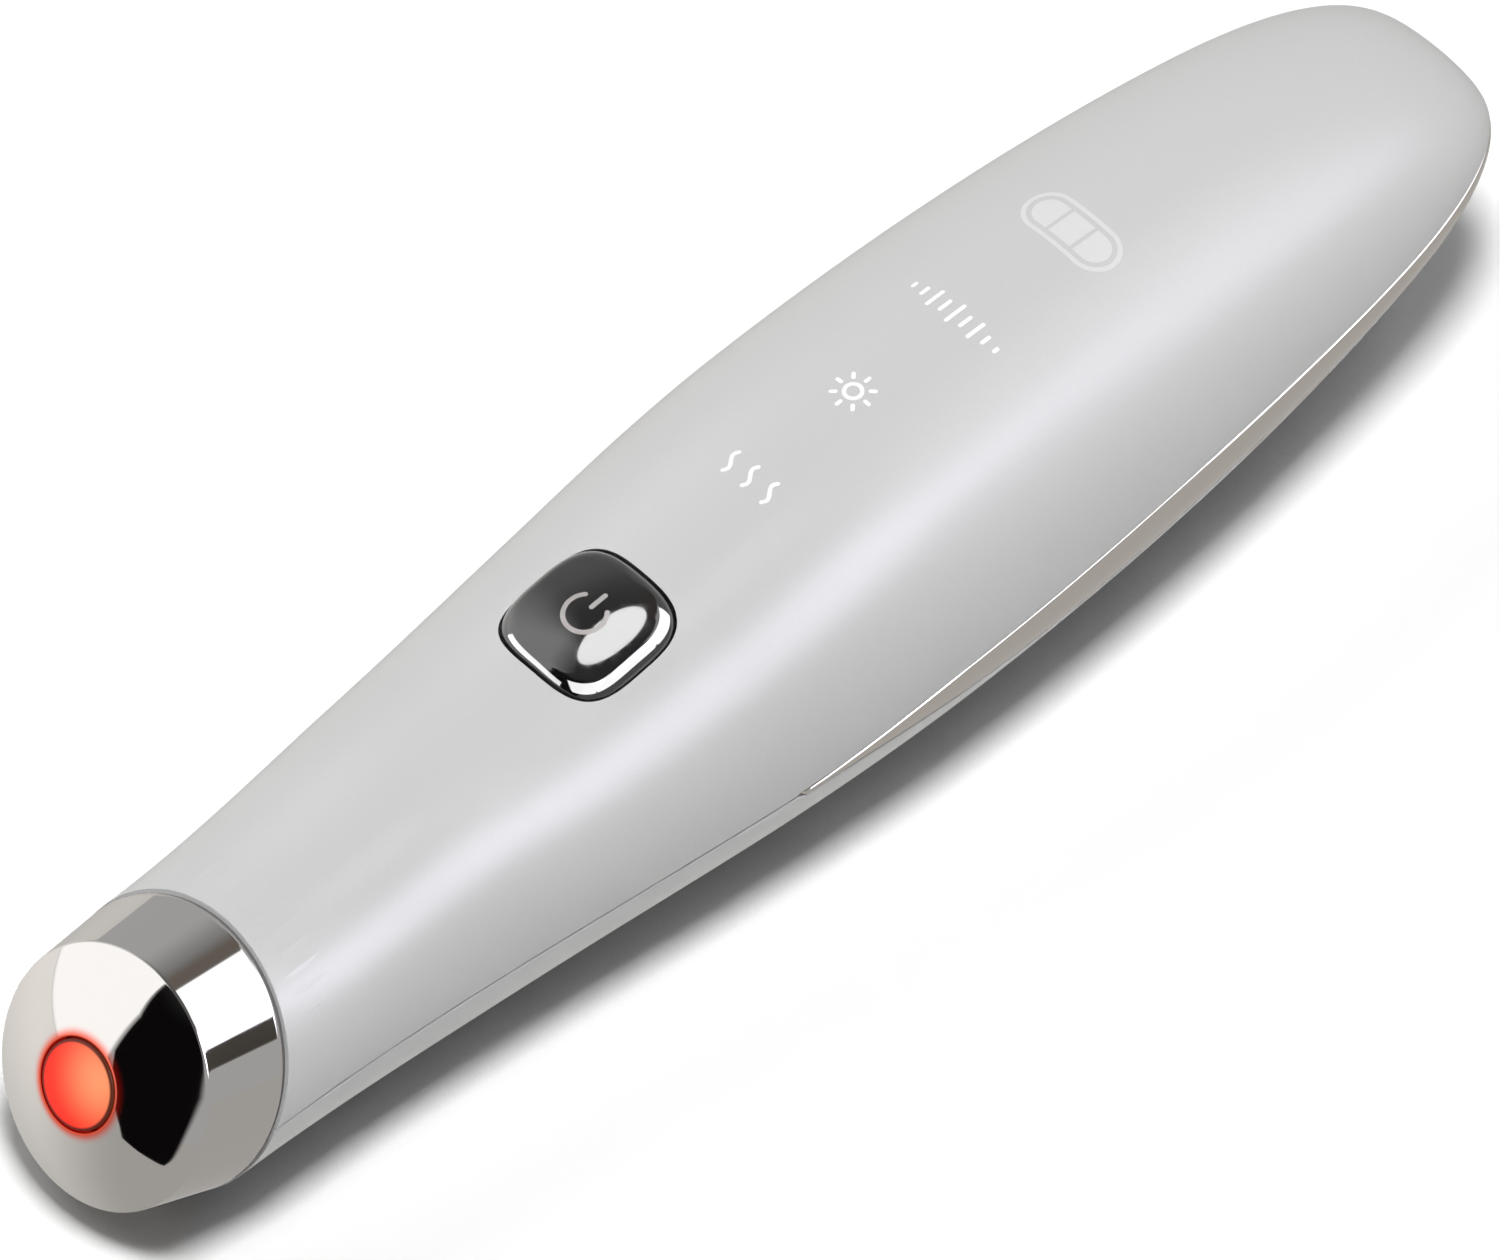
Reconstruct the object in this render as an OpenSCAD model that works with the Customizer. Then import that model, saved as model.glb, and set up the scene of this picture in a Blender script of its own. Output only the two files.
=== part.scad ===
// Eye-area massage wand: a pearl housing in two shells with a chrome side trim, a slanted
// heated metal head with a red light window, one push button and a vibration motor.
// The wand lies on its flat underside, X runs from the head to the tail and Z is up.

/* [Housing] */
// Length from the tip of the head to the end of the tail
overall_length = 150.4; // [146:0.2:158]
// Diameter of the neck where the head meets the housing
neck_d = 23.7; // [22.8:0.1:25]
// Widest width of the housing
belly_w = 34.2; // [32:0.2:38]
// Distance from the neck to the widest place
belly_s = 72; // [64:1:80]
// Width that the tapering sides aim at where the tail ends
tail_w = 21; // [18:0.5:26]
// Length over which the tail rounds off in plan
tail_round = 24; // [20:1:30]
// Height of the top above the seam behind the neck
shoulder_h = 12.45; // [11.8:0.05:13.4]
// Distance from the neck to that place
shoulder_s = 28; // [24:1:32]
// Greatest height of the top above the seam
crown_h = 17; // [16:0.1:19]
// Distance from the neck to the greatest height
crown_s = 71; // [64:1:78]
// How far the seam climbs towards the tail
seam_rise = 5.2; // [3:0.1:7]
// Distance from the neck to the place where the seam starts to climb
seam_s = 50; // [40:1:60]
// Length of the flat underside, measured from the neck
keel_s = 83; // [74:1:92]
// How deep the flat of the underside is cut into the round
sole_cut = 0.5; // [0.3:0.1:0.9]
// Squareness of the housing's sections, where 2 is an ellipse
section_n = 2.1; // [2:0.05:2.4]
// Wall thickness of both shells
wall = 2; // [1.6:0.1:2.2]
// Gap between the two shells along the seam
seam_gap = 0.1; // [0.06:0.02:0.2]

/* [Head] */
// Tilt of the face of the head back from upright
face_tilt = 29.8; // [24:0.2:34]
// Depth of the metal band, square to the face
band_len = 6.8; // [6:0.1:8]
// How far the face lies below the middle of the neck
head_drop = 2; // [1:0.1:2.6]
// Diameter of the edge between the band and the face
crease_d = 21.3; // [20:0.1:22.4]
// Radius of the edge between the band and the face
crease_r = 0.5; // [0.3:0.1:0.8]
// Radius of the domed face
dome_r = 17.6; // [16:0.1:22]
// Thickness of the metal head
head_wall = 1; // [0.8:0.1:1.2]
// Thickness of the gasket between head and housing
gasket_t = 0.4; // [0.3:0.1:0.8]
// Diameter of the light window
lens_d = 7.3; // [6:0.1:8.4]
// How far the window's crown stands out of the face
lens_proud = 0.3; // [0.1:0.05:0.6]

/* [Button] */
// Distance from the neck to the middle of the button
button_s = 44; // [42:0.5:46]
// Width of the button
button_w = 12; // [11:0.2:12.6]
// Height of the button's crown above the top
button_proud = 1.3; // [1.1:0.1:1.8]
// Radius of the button's crown
button_dome_r = 18; // [16:1:26]
// Radius of the rolled rim of the button
button_round = 1.1; // [0.6:0.1:1.4]
// Travel of the button
button_travel = 0.6; // [0.3:0.1:0.8]

/* [Side trim] */
// Distance from the neck to the pointed ends of the trim
trim_s = 51.5; // [46:0.5:60]
// Height of the trim above the seam
trim_up = 1; // [0.6:0.1:1.6]
// Height of the trim below the seam
trim_h = 3.5; // [2.6:0.1:3.8]
// Depth of the trim in its groove
trim_t = 1; // [0.8:0.1:1.1]
// How far the trim stands out of the lower shell
trim_proud = 0.15; // [0.05:0.05:0.3]
// Length over which each end grows from its point
trim_tip = 11; // [8:1:16]

/* [Drive and power] */
// Diameter of the vibration motor
motor_d = 8; // [7:0.5:9]
// Length of the vibration motor's can
motor_len = 14; // [12:1:16]
// Distance from the neck to the front of the motor's can
motor_s = 15; // [14:0.5:16]
// Diameter of the motor's shaft
shaft_d = 1.5; // [1.2:0.1:2]
// Swing radius of the eccentric weight
weight_r = 3.6; // [3:0.1:4.2]
// Thickness of the eccentric weight
weight_t = 4; // [3:0.5:4.5]
// Wall of the rubber sleeve round the motor
sleeve_t = 1.6; // [1.2:0.1:2]
// Diameter of the battery cell
battery_d = 14; // [12:0.5:14.5]
// Distance from the neck to the front of the battery cell
battery_s = 58; // [57.5:0.5:60]
// Room between the battery cell and the charging board
battery_room = 11.5; // [10:0.5:18]
// Height of the battery cell's axis
battery_z = 11.2; // [11:0.1:11.8]

/* [Boards] */
// Thickness of the circuit boards
board_t = 1.2; // [0.8:0.2:1.4]
// Width of the main board
board_w = 19; // [18:0.5:19.5]
// Thickness of the foam pads between battery cell and main board
pad_t = 0.8; // [0.6:0.1:1.2]
// Shank diameter of the board screws
screw_d = 2; // [1.6:0.1:2.2]
// Spacing of the mode lights along the top
mode_pitch = 11.1; // [10:0.1:11.6]
// Distance from the neck to the first mode light
mode_s = 61.5; // [61:0.5:63]
// Distance from the neck to the charge gauge
gauge_s = 96.5; // [95:0.5:98]
// Width of the charging socket's mouth
socket_w = 9; // [8.4:0.1:9.4]
// Height of the charging socket's mouth
socket_h = 3.3; // [3:0.1:3.5]
// Drop of the socket's middle below the seam at the tail
socket_drop = 5.7; // [5.5:0.1:6]

/* [Fits] */
// Gap between pieces that are assembled
fit = 0.15; // [0.1:0.01:0.2]
// Radial play of the motor's shaft in its bearing
shaft_play = 0.04; // [0.02:0.01:0.08]
// Play all round the button in its hole
button_play = 0.3; // [0.2:0.05:0.4]

/* [Hidden] */

$fn = 64;
neck_r = neck_d / 2;
crease_big_r = crease_d / 2;
// Rounding of the tail in plan and the share of the housing over which the neck leans
tail_n = 4;
lean_run = 36;
sole_run = 24;
seam_power = 1.2;
squircle_n = 3.4;
// Counts of stations along the housing and of steps round a half section
stations = 34;
half_steps = 22;
cavity_stations = 22;
cavity_steps = 32;
trim_stations = 44;
trim_levels = 4;
head_steps = 56;
dome_steps = 5;
// A small flat closes the very end of the tail
tail_flat = 0.05;

dome_base = sqrt(pow(dome_r, 2) - pow(crease_big_r, 2));
// The dome of the face reaches furthest forward
head_reach = dome_r + (band_len - dome_base) * cos(face_tilt) + head_drop * sin(face_tilt);
ring_x = head_reach - overall_length / 2;
body_len = overall_length - head_reach;
seam_h = neck_r * cos(face_tilt);
lens_r = lens_d / 2;

// Smooth step from 0 to 1, and a blend of two values along it
function ease(t) = let (u = min(max(t, 0), 1)) u * u * (3 - 2 * u);
function blend(a, b, t) = a + (b - a) * ease(t);
// Falls from 1 to 0 as a superellipse does
function round_off(t, n) = pow(1 - pow(min(max(t, 0), 1), n), 1 / n);
function bow(c, n) = sign(c) * pow(abs(c), 2 / n);

// The housing's outline at a station s, which is measured from the neck
function taper(s) = (belly_w - (belly_w - tail_w) * pow((s - belly_s) / (body_len - belly_s), 2)) / 2;
function half_width(s) = s < belly_s
  ? blend(neck_r, belly_w / 2, s / belly_s)
  : taper(s) * round_off((s - body_len + tail_round) / tail_round, tail_n);
function crown(s) = s < shoulder_s ? blend(neck_r, shoulder_h, s / shoulder_s)
  : s < crown_s ? blend(shoulder_h, crown_h, (s - shoulder_s) / (crown_s - shoulder_s))
  : crown_h * round_off((s - crown_s) / (body_len - crown_s), 2);
function seam_z(s) = seam_h + seam_rise * pow(max(0, (s - seam_s) / (body_len - seam_s)), seam_power);
function lean(s) = face_tilt * (1 - ease(s / lean_run));
function keel_full(s) = (seam_z(s) + sole_cut * ease(s / sole_run)) / cos(lean(s));
function keel(s) = keel_full(s) * round_off((s - keel_s) / (body_len - keel_s), 2);
function power(s) = 2 + (section_n - 2) * ease(s / shoulder_s);

// A point on the section at station s, cut back from the skin, with the sizes of station q. A rim
// keeps the point that far above the seam, or below it where the rim is less than zero.
function keep_off(h, rim) = rim > 0 ? max(h, rim) : rim < 0 ? min(h, rim) : h;
function section_point(s, a, cut, q, rim = 0) =
  let (
    n = power(q),
    rise = sin(a) < 0 ? keel(q) : crown(q),
    round_h = (rise - cut) * bow(sin(a), n),
    h = keep_off(max(round_h, cut - seam_z(s) / cos(lean(s))), rim),
    y = (half_width(q) - cut) * bow(cos(a), n)
  )
  [ring_x + s + h * sin(lean(s)), y, seam_z(s) + h * cos(lean(s))];
function top_z(s) = seam_z(s) + crown(s);
// Height of the top at a distance y from the middle
function side_share(s, y) = pow(1 - pow(abs(y) / half_width(s), power(s)), 1 / power(s));
function roof_z(s, y) = seam_z(s) + crown(s) * side_share(s, y);

// Skins the loops into a solid, with flat ends or closed on itself
module loft(loops, closed = false) {
  m = len(loops);
  n = len(loops[0]);
  sides = [
    for (i = [0 : closed ? m - 1 : m - 2], j = [0 : n - 1], half = [0, 1])
      let (a = i * n, b = (i + 1) % m * n, k = (j + 1) % n)
        half == 0 ? [a + j, b + j, b + k] : [a + j, b + k, a + k]
  ];
  caps = closed ? [] : [[for (j = [0 : n - 1]) j], [for (j = [n - 1 : -1 : 0]) (m - 1) * n + j]];
  polyhedron([for (loop = loops) each loop], concat(sides, caps), convexity = 6);
}

// Half of the solid housing, above or below the seam
module half_body(side) {
  last = body_len - tail_flat;
  loft([
    for (i = [0 : stations])
      let (s = last * sin(90 * i / stations))
        [for (j = [0 : half_steps])
          section_point(s, side * 90 - 90 + 180 * j / half_steps, 0, s, side * seam_gap / 2)]
  ]);
}

// The hollow that both shells share, open at the neck
module cavity() {
  last = body_len - wall - tail_flat;
  loft([
    for (i = [-1 : cavity_stations])
      let (
        s = i < 0 ? -wall : last * sin(90 * i / cavity_stations),
        t = max(s, 0) / (body_len - wall),
        cut = wall * (1 - pow(t, 8))
      )
        [for (j = [0 : cavity_steps - 1])
          section_point(s, 360 * j / cavity_steps, cut, t * body_len)]
  ]);
}

// Frames of the button, of the head and of its face
button_tilt = atan((top_z(button_s + 1) - top_z(button_s - 1)) / 2);
module at_button() {
  translate([ring_x + button_s, 0, top_z(button_s)])
    rotate([0, -button_tilt, 0])
      children();
}
module at_head() {
  translate([ring_x, 0, seam_h])
    rotate([0, face_tilt - 90, 0])
      children();
}
module at_face() {
  at_head()
    translate([-head_drop, 0, 0])
      children();
}
module at_axis(s, z) {
  translate([ring_x + s, 0, z])
    rotate([0, 90, 0])
      children();
}

function squircle_points(w) =
  [for (a = [0 : 9 : 351]) w / 2 * [bow(cos(a), squircle_n), bow(sin(a), squircle_n)]];
module squircle(w) {
  polygon(squircle_points(w));
}
module squircle_block(w, low, high) {
  translate([0, 0, low])
    linear_extrude(high - low)
      squircle(w);
}
// A slot with round ends, drawn across Y and run along X
module slot_block(w, h, depth) {
  rotate([90, 0, 90])
    linear_extrude(depth) {
      square([w - h, h], center = true);
      for (side = [-1, 1])
        translate([side * (w - h) / 2, 0])
          circle(d = h);
    }
}

// Screws and the posts that take them
screw_head_r = screw_d * 0.9;
screw_head_h = 1.2;
screw_len = 4.5;
post_wall = 1.2;
boss_r = screw_d / 2 + post_wall;
pilot_play = 0.05;

// Sizes of the button's collar, flange, plunger and switch
collar_wall = 1.3;
collar_depth = 2.7;
button_seal_t = 0.5;
button_flange_t = 1;
button_lip = 1.1;
plunger_len = 1.8;
stem_r = 1.5;
stem_len = 2.05;
stem_in = 0.7;
switch_h = 3.5;
switch_w = 6.2;
post_gap = 0.4;
// Places along the button's axis, below the top
collar_low = -(wall + collar_depth);
gasket_low = collar_low - button_seal_t;
flange_low = gasket_low - fit - button_flange_t;
plunger_low = flange_low - plunger_len;
stem_low = plunger_low - stem_len;
switch_top = stem_low + stem_in;
switch_low = switch_top - switch_h;
hole_w = button_w + 2 * button_play;
flange_w = button_w + 2 * button_lip;
collar_w = hole_w + 2 * collar_wall;
switch_screw_y = max(flange_w, collar_w) / 2 + boss_r + post_gap;
switch_board_l = 13;
switch_board_w = 2 * (switch_screw_y + screw_head_r);

// Places of the boards and of their screws
board_z = battery_z + battery_d / 2 + pad_t;
board_s = battery_s;
board_len = 50;
screw_inset = 4;
screw_edge = 2.5;
screw_y = board_w / 2 - screw_edge;
main_screw_s = [board_s + screw_inset, board_s + board_len - screw_inset];
socket_z = seam_z(body_len) - socket_drop;
socket_len = 7.4;
// The mouth lies just inside the tail's end at the socket's lower edge
socket_recess = 1.2;
socket_s = tail_end(socket_drop + socket_h / 2) - socket_recess;
socket_wall = 0.4;
charge_board_z = socket_z + socket_h / 2;
charge_board_l = 15;
charge_board_w = 14;
charge_s = socket_s - charge_board_l;
charge_screw_s = charge_s + 3;
charge_screw_y = 4.6;
// Pins on the lower shell that locate the upper one
front_pin_s = 57;
rear_pin_s = 112;
pin_r = 1;
pin_h = 2.5;
pin_inset = 1.6;
motor_z = seam_h;
saddle_t = 2.5;
saddle_inset = 6;
sleeve_len = motor_len - 2;
sleeve_r = motor_d / 2 + sleeve_t;
motor_saddles = [motor_s + 3, motor_s + motor_len - 3];
battery_len = charge_s - battery_room - battery_s;
battery_saddles = [battery_s + saddle_inset, battery_s + battery_len - saddle_inset];

// A rib that stands on the housing's floor and cradles a round piece
module saddle(s, z, r) {
  reach = r - 0.5;
  difference() {
    translate([ring_x + s - saddle_t / 2, -reach, 0])
      cube([saddle_t, 2 * reach, z - r / 2]);
    at_axis(s - saddle_t, z)
      cylinder(r = r + fit, h = 2 * saddle_t);
  }
}
module screw() {
  translate([0, 0, -screw_head_h])
    cylinder(r = screw_head_r, h = screw_head_h);
  cylinder(d = screw_d, h = screw_len);
}
module screw_hole() {
  translate([0, 0, -1])
    cylinder(r = screw_d / 2 + fit, h = board_t + 2);
}
module pilot() {
  cylinder(r = screw_d / 2 + pilot_play, h = screw_len);
}
module at_main_screws() {
  for (s = main_screw_s, y = [-screw_y, screw_y])
    translate([ring_x + s, y, board_z])
      children();
}
module at_switch_screws() {
  at_button()
    for (y = [-switch_screw_y, switch_screw_y])
      translate([0, y, switch_low - board_t])
        children();
}
module at_charge_screws() {
  for (y = [-charge_screw_y, charge_screw_y])
    translate([ring_x + charge_screw_s, y, charge_board_z + board_t])
      mirror([0, 0, 1])
        children();
}
module at_pins() {
  for (s = [front_pin_s, rear_pin_s], side = [-1, 1])
    translate([ring_x + s, side * (half_width(s) - wall - pin_inset), seam_z(s)])
      children();
}

// What stays solid inside the hollow of each shell
module upper_ribs() {
  at_button()
    squircle_block(collar_w, collar_low, button_proud);
  at_main_screws()
    translate([0, 0, board_t])
      cylinder(r = boss_r, h = crown_h);
  at_switch_screws()
    translate([0, 0, board_t])
      cylinder(r = boss_r, h = crown_h);
  at_pins()
    cylinder(r = boss_r, h = crown_h);
}
module lower_ribs() {
  for (s = motor_saddles)
    saddle(s, motor_z, sleeve_r);
  for (s = battery_saddles)
    saddle(s, battery_z, battery_d / 2);
  at_charge_screws()
    translate([0, 0, board_t])
      cylinder(r = boss_r, h = crown_h);
  at_pins()
    translate([0, 0, -crown_h])
      cylinder(r = boss_r, h = crown_h + 1);
}

module upper_shell() color("gainsboro") {
  difference() {
    half_body(1);
    difference() {
      cavity();
      upper_ribs();
    }
    trim_band(3, trim_t + fit, fit);
    at_button()
      squircle_block(hole_w, collar_low - 1, button_proud + 1);
    at_main_screws()
      pilot();
    at_switch_screws()
      pilot();
    at_pins()
      translate([0, 0, -1])
        cylinder(r = pin_r + pilot_play, h = pin_h + 1.5);
  }
}

module lower_shell() color("gainsboro") {
  difference() {
    half_body(-1);
    difference() {
      cavity();
      lower_ribs();
    }
    trim_band(3, trim_t + fit, fit);
    translate([ring_x + socket_s - socket_len - fit, 0, socket_z])
      slot_block(socket_w + 2 * fit, socket_h + 2 * fit, tail_round);
    at_charge_screws()
      pilot();
  }
  at_pins()
    translate([0, 0, -1])
      cylinder(r = pin_r, h = pin_h + 1);
}

// The housing's plan outline at a drop below the seam, or above it where the drop is less than
// zero, run from one side round the tail to the other as u goes from -1 to 1
function tail_end(drop) = drop < 0
  ? crown_s + (body_len - crown_s) * sqrt(1 - pow(drop / crown_h, 2))
  : keel_s + (body_len - keel_s) * sqrt(1 - pow(drop / keel_full(body_len), 2));
function outline(u, drop) =
  let (
    s = trim_s + (tail_end(drop) - trim_s - tail_flat) * cos(90 * u),
    reach = drop < 0 ? crown(s) : keel(s),
    left = 1 - pow(min(1, abs(drop) / reach), power(s))
  )
  [ring_x + s, sign(u) * half_width(s) * pow(max(0, left), 1 / power(s))];
function outline_normal(u, drop) =
  let (step = outline(u + 0.01, drop) - outline(u - 0.01, drop))
  [step[1], -step[0]] / norm(step);
function trim_growth(u) = 0.1 + 0.9 * ease(cos(90 * u) * (body_len - trim_s) / trim_tip);
function trim_point(u, drop, out) =
  let (p = outline(u, drop), at = p + out * outline_normal(u, drop))
  [at[0], at[1], seam_z(p[0] - ring_x) - drop];

// The trim's band between its outer and inner face, with room above and below it
module trim_band(outer, inner, room) {
  loft([
    for (i = [0 : trim_stations])
      let (
        u = -1 + 2 * i / trim_stations,
        high = -trim_up * trim_growth(u) - room,
        low = trim_h * trim_growth(u) + room,
        drops = [for (k = [0 : trim_levels]) high + (low - high) * k / trim_levels]
      )
        concat(
          [for (drop = drops) trim_point(u, drop, outer)],
          [for (k = [trim_levels : -1 : 0]) trim_point(u, drops[k], -inner)]
        )
  ]);
}
module side_trim() color("silver") {
  trim_band(trim_proud, trim_t, 0);
}

// The head is a run of circles in planes along the head's axis. The band slants down to the
// face, so each circle's middle drops with its distance from the neck.
forward = [-cos(face_tilt), 0, sin(face_tilt)];
upward = [sin(face_tilt), 0, cos(face_tilt)];
function head_loop(r, d) =
  let (middle = [ring_x, 0, seam_h] + d * forward - head_drop * min(1, d / band_len) * upward)
  [for (j = [0 : head_steps - 1])
    let (a = 360 * j / head_steps) middle + r * sin(a) * upward + [0, r * cos(a), 0]];
function band_r(d) = neck_r + (crease_big_r - neck_r) * d / band_len;
function dome_d(r, big) = band_len + sqrt(pow(big, 2) - pow(r, 2)) - dome_base;
function dome_profile(from_r, to_r, big) =
  [for (k = [0 : dome_steps])
    let (r = from_r + (to_r - from_r) * k / dome_steps) [r, dome_d(r, big)]];

// The metal is thicker towards the crease, as a drawn cup is
inner_crease_r = crease_big_r - 1.6 * head_wall;
inner_crease_d = dome_d(inner_crease_r, dome_r - head_wall);
function head_inner_r(d) =
  let (back_r = band_r(gasket_t) - head_wall)
  back_r + (inner_crease_r - back_r) * (d - gasket_t) / (inner_crease_d - gasket_t);
module massage_head() color("silver") {
  back = gasket_t;
  lip_r = lens_r + fit;
  outside = concat(
    dome_profile(lip_r, crease_big_r - crease_r, dome_r),
    [[band_r(band_len - crease_r), band_len - crease_r], [band_r(back), back]]
  );
  inside = concat(
    [[head_inner_r(back), back]],
    dome_profile(inner_crease_r, lip_r, dome_r - head_wall)
  );
  loft([for (p = concat(outside, inside)) head_loop(p[0], p[1])], closed = true);
}

module neck_gasket() color("dimgray") {
  at_head()
    rotate_extrude()
      translate([neck_r - wall, 0])
        square([wall - 0.3, gasket_t]);
}

// A plastic ring that plugs into the neck and carries the metal head
carrier_front = 3.4;
carrier_r = neck_r - wall - fit;
carrier_wall = 1.4;
carrier_front_r = head_inner_r(carrier_front) - 2 * fit;
plug_len = 8;
function plug_loop(s, cut) =
  [for (j = [0 : head_steps - 1]) section_point(s, 360 * j / head_steps, wall + fit + cut, s)];
module head_carrier() color("whitesmoke") {
  lip_back = gasket_t + fit;
  loft([
    head_loop(carrier_front_r, carrier_front),
    head_loop(head_inner_r(lip_back) - 2 * fit, lip_back),
    head_loop(carrier_r, lip_back),
    plug_loop(0, 0),
    plug_loop(plug_len, 0),
    plug_loop(plug_len, carrier_wall),
    plug_loop(0, carrier_wall),
    head_loop(carrier_front_r - carrier_wall, carrier_front)
  ], closed = true);
}

// Pieces of the head that turn about the face's own axis
washer_t = 0.3;
flange_r = lens_r + 1;
flange_t = 0.8;
window_seat = dome_d(flange_r, dome_r - head_wall) - fit;
module heater_ring() color("sienna") {
  from_r = flange_r + 0.6;
  to_r = crease_big_r - 2.6 * head_wall;
  face = dome_profile(from_r, to_r, dome_r - head_wall);
  at_face()
    rotate_extrude()
      polygon(concat(
        [for (p = face) p - [0, fit]],
        [[to_r, face[dome_steps][1] - 1], [from_r, face[dome_steps][1] - 1]]
      ));
}
module light_window() color("red") {
  front = dome_d(lens_r, dome_r);
  low = window_seat - washer_t - flange_t;
  crown_r = (pow(lens_r, 2) + pow(lens_proud, 2)) / (2 * lens_proud);
  at_face() {
    translate([0, 0, low])
      cylinder(r = flange_r, h = flange_t);
    translate([0, 0, low])
      cylinder(r = lens_r, h = front - low);
    intersection() {
      translate([0, 0, front - 0.5])
        cylinder(r = lens_r, h = 0.5 + lens_proud);
      translate([0, 0, front + lens_proud - crown_r])
        sphere(r = crown_r);
    }
  }
}
module window_washer() color("dimgray") {
  at_face()
    translate([0, 0, window_seat - washer_t])
      difference() {
        cylinder(r = flange_r, h = washer_t);
        translate([0, 0, -1])
          cylinder(r = lens_r + fit, h = washer_t + 2);
      }
}
module led_board() color("seagreen") {
  seat = 0.45;
  at_head()
    translate([-head_drop * carrier_front / band_len, 0, carrier_front])
      cylinder(r = carrier_front_r - carrier_wall + seat, h = board_t);
}
module head_led() color("mistyrose") {
  led_r = 2;
  base = carrier_front + board_t;
  room = window_seat - washer_t - flange_t - base - fit;
  at_face() {
    translate([0, 0, base])
      cylinder(r = led_r + 0.5, h = room * 0.4);
    translate([0, 0, base])
      cylinder(r1 = led_r, r2 = led_r * 0.7, h = room);
  }
}

// A ring of the cap: the button's outline shrunk to a share, dropped below the domed crown
function cap_ring(share, drop) =
  [for (p = squircle_points(share * button_w))
    [p[0], p[1], button_proud - button_dome_r + sqrt(pow(button_dome_r, 2) - p * p) - drop]];
module button_cap() color([0.12, 0.12, 0.12]) {
  inside = 1 - 2 * button_round / button_w;
  flange_middle = flange_low + button_flange_t / 2;
  at_button() {
    loft(concat(
      [[for (p = squircle_points(button_w)) [p[0], p[1], flange_middle]]],
      [for (a = [90 : -18 : 0])
        cap_ring(inside + (1 - inside) * sin(a), button_round * (1 - cos(a)))],
      [for (share = [0.75, 0.5, 0.25, 0.02]) cap_ring(inside * share, 0)]
    ));
    squircle_block(flange_w, flange_low, flange_low + button_flange_t);
    translate([0, 0, plunger_low])
      cylinder(r = stem_r, h = flange_middle - plunger_low);
  }
}
module button_gasket() color("dimgray") {
  at_button()
    translate([0, 0, gasket_low])
      linear_extrude(collar_low - gasket_low)
        difference() {
          squircle(collar_w);
          squircle(hole_w);
        }
}
module switch_board() color("seagreen") {
  difference() {
    at_button()
      translate([-switch_board_l / 2, -switch_board_w / 2, switch_low - board_t])
        cube([switch_board_l, switch_board_w, board_t]);
    at_switch_screws()
      screw_hole();
  }
}
module tact_switch() color("black") {
  at_button()
    difference() {
      translate([-switch_w / 2, -switch_w / 2, switch_low])
        cube([switch_w, switch_w, switch_h]);
      translate([0, 0, stem_low - button_travel - fit])
        cylinder(r = stem_r + fit, h = switch_h);
    }
}
module switch_stem() color("ivory") {
  at_button()
    translate([0, 0, stem_low])
      cylinder(r = stem_r, h = plunger_low - stem_low);
}

module main_board() color("seagreen") {
  difference() {
    translate([ring_x + board_s, -board_w / 2, board_z])
      cube([board_len, board_w, board_t]);
    at_main_screws()
      screw_hole();
  }
}
// One light guide stands under each of the three mode marks and under the charge gauge
module light_guides() color("azure") {
  guide_l = 3;
  guide_w = 7;
  low = board_z + board_t;
  for (s = [mode_s, mode_s + mode_pitch, mode_s + 2 * mode_pitch, gauge_s])
    let (top = min(roof_z(s - guide_l, guide_w / 2), roof_z(s + guide_l, guide_w / 2)))
      translate([ring_x + s - guide_l / 2, -guide_w / 2, low])
        cube([guide_l, guide_w, top - wall - 2 * fit - low]);
}
module battery_cell() color("steelblue") {
  cap_r = 2.6;
  cap_h = 1.2;
  at_axis(battery_s, battery_z) {
    cylinder(d = battery_d, h = battery_len - cap_h);
    cylinder(r = cap_r, h = battery_len);
  }
}
module battery_pads() color("dimgray") {
  pad_l = 8;
  for (s = battery_saddles)
    translate([ring_x + s - pad_l / 2, -pad_l / 2, battery_z + battery_d / 2])
      cube([pad_l, pad_l, pad_t]);
}

module motor_can() color("silver") {
  boss = 1.2;
  at_axis(motor_s, motor_z)
    difference() {
      union() {
        cylinder(d = motor_d, h = motor_len);
        translate([0, 0, -boss])
          cylinder(r = motor_d * 0.25, h = boss + 1);
      }
      translate([0, 0, -boss - 1])
        cylinder(r = shaft_d / 2 + shaft_play, h = motor_len);
    }
}
module motor_sleeve() color([0.2, 0.2, 0.2]) {
  at_axis(motor_s + (motor_len - sleeve_len) / 2, motor_z)
    difference() {
      cylinder(r = sleeve_r, h = sleeve_len);
      translate([0, 0, -1])
        cylinder(r = motor_d / 2 + 0.02, h = sleeve_len + 2);
    }
}
weight_gap = 0.6;
weight_s = motor_s - 1.2 - weight_gap - weight_t;
module motor_shaft() color("gray") {
  at_axis(weight_s - 0.5, motor_z)
    cylinder(d = shaft_d, h = 0.5 + weight_t + weight_gap + 1.2 + motor_len * 0.7);
}
module eccentric_weight() color("darkgray") {
  at_axis(weight_s, motor_z)
    difference() {
      union() {
        cylinder(r = shaft_d, h = weight_t);
        rotate([0, 0, -90])
          rotate_extrude(angle = 180)
            square([weight_r, weight_t]);
      }
      translate([0, 0, -1])
        cylinder(r = shaft_d / 2, h = weight_t + 2);
    }
}

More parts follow.
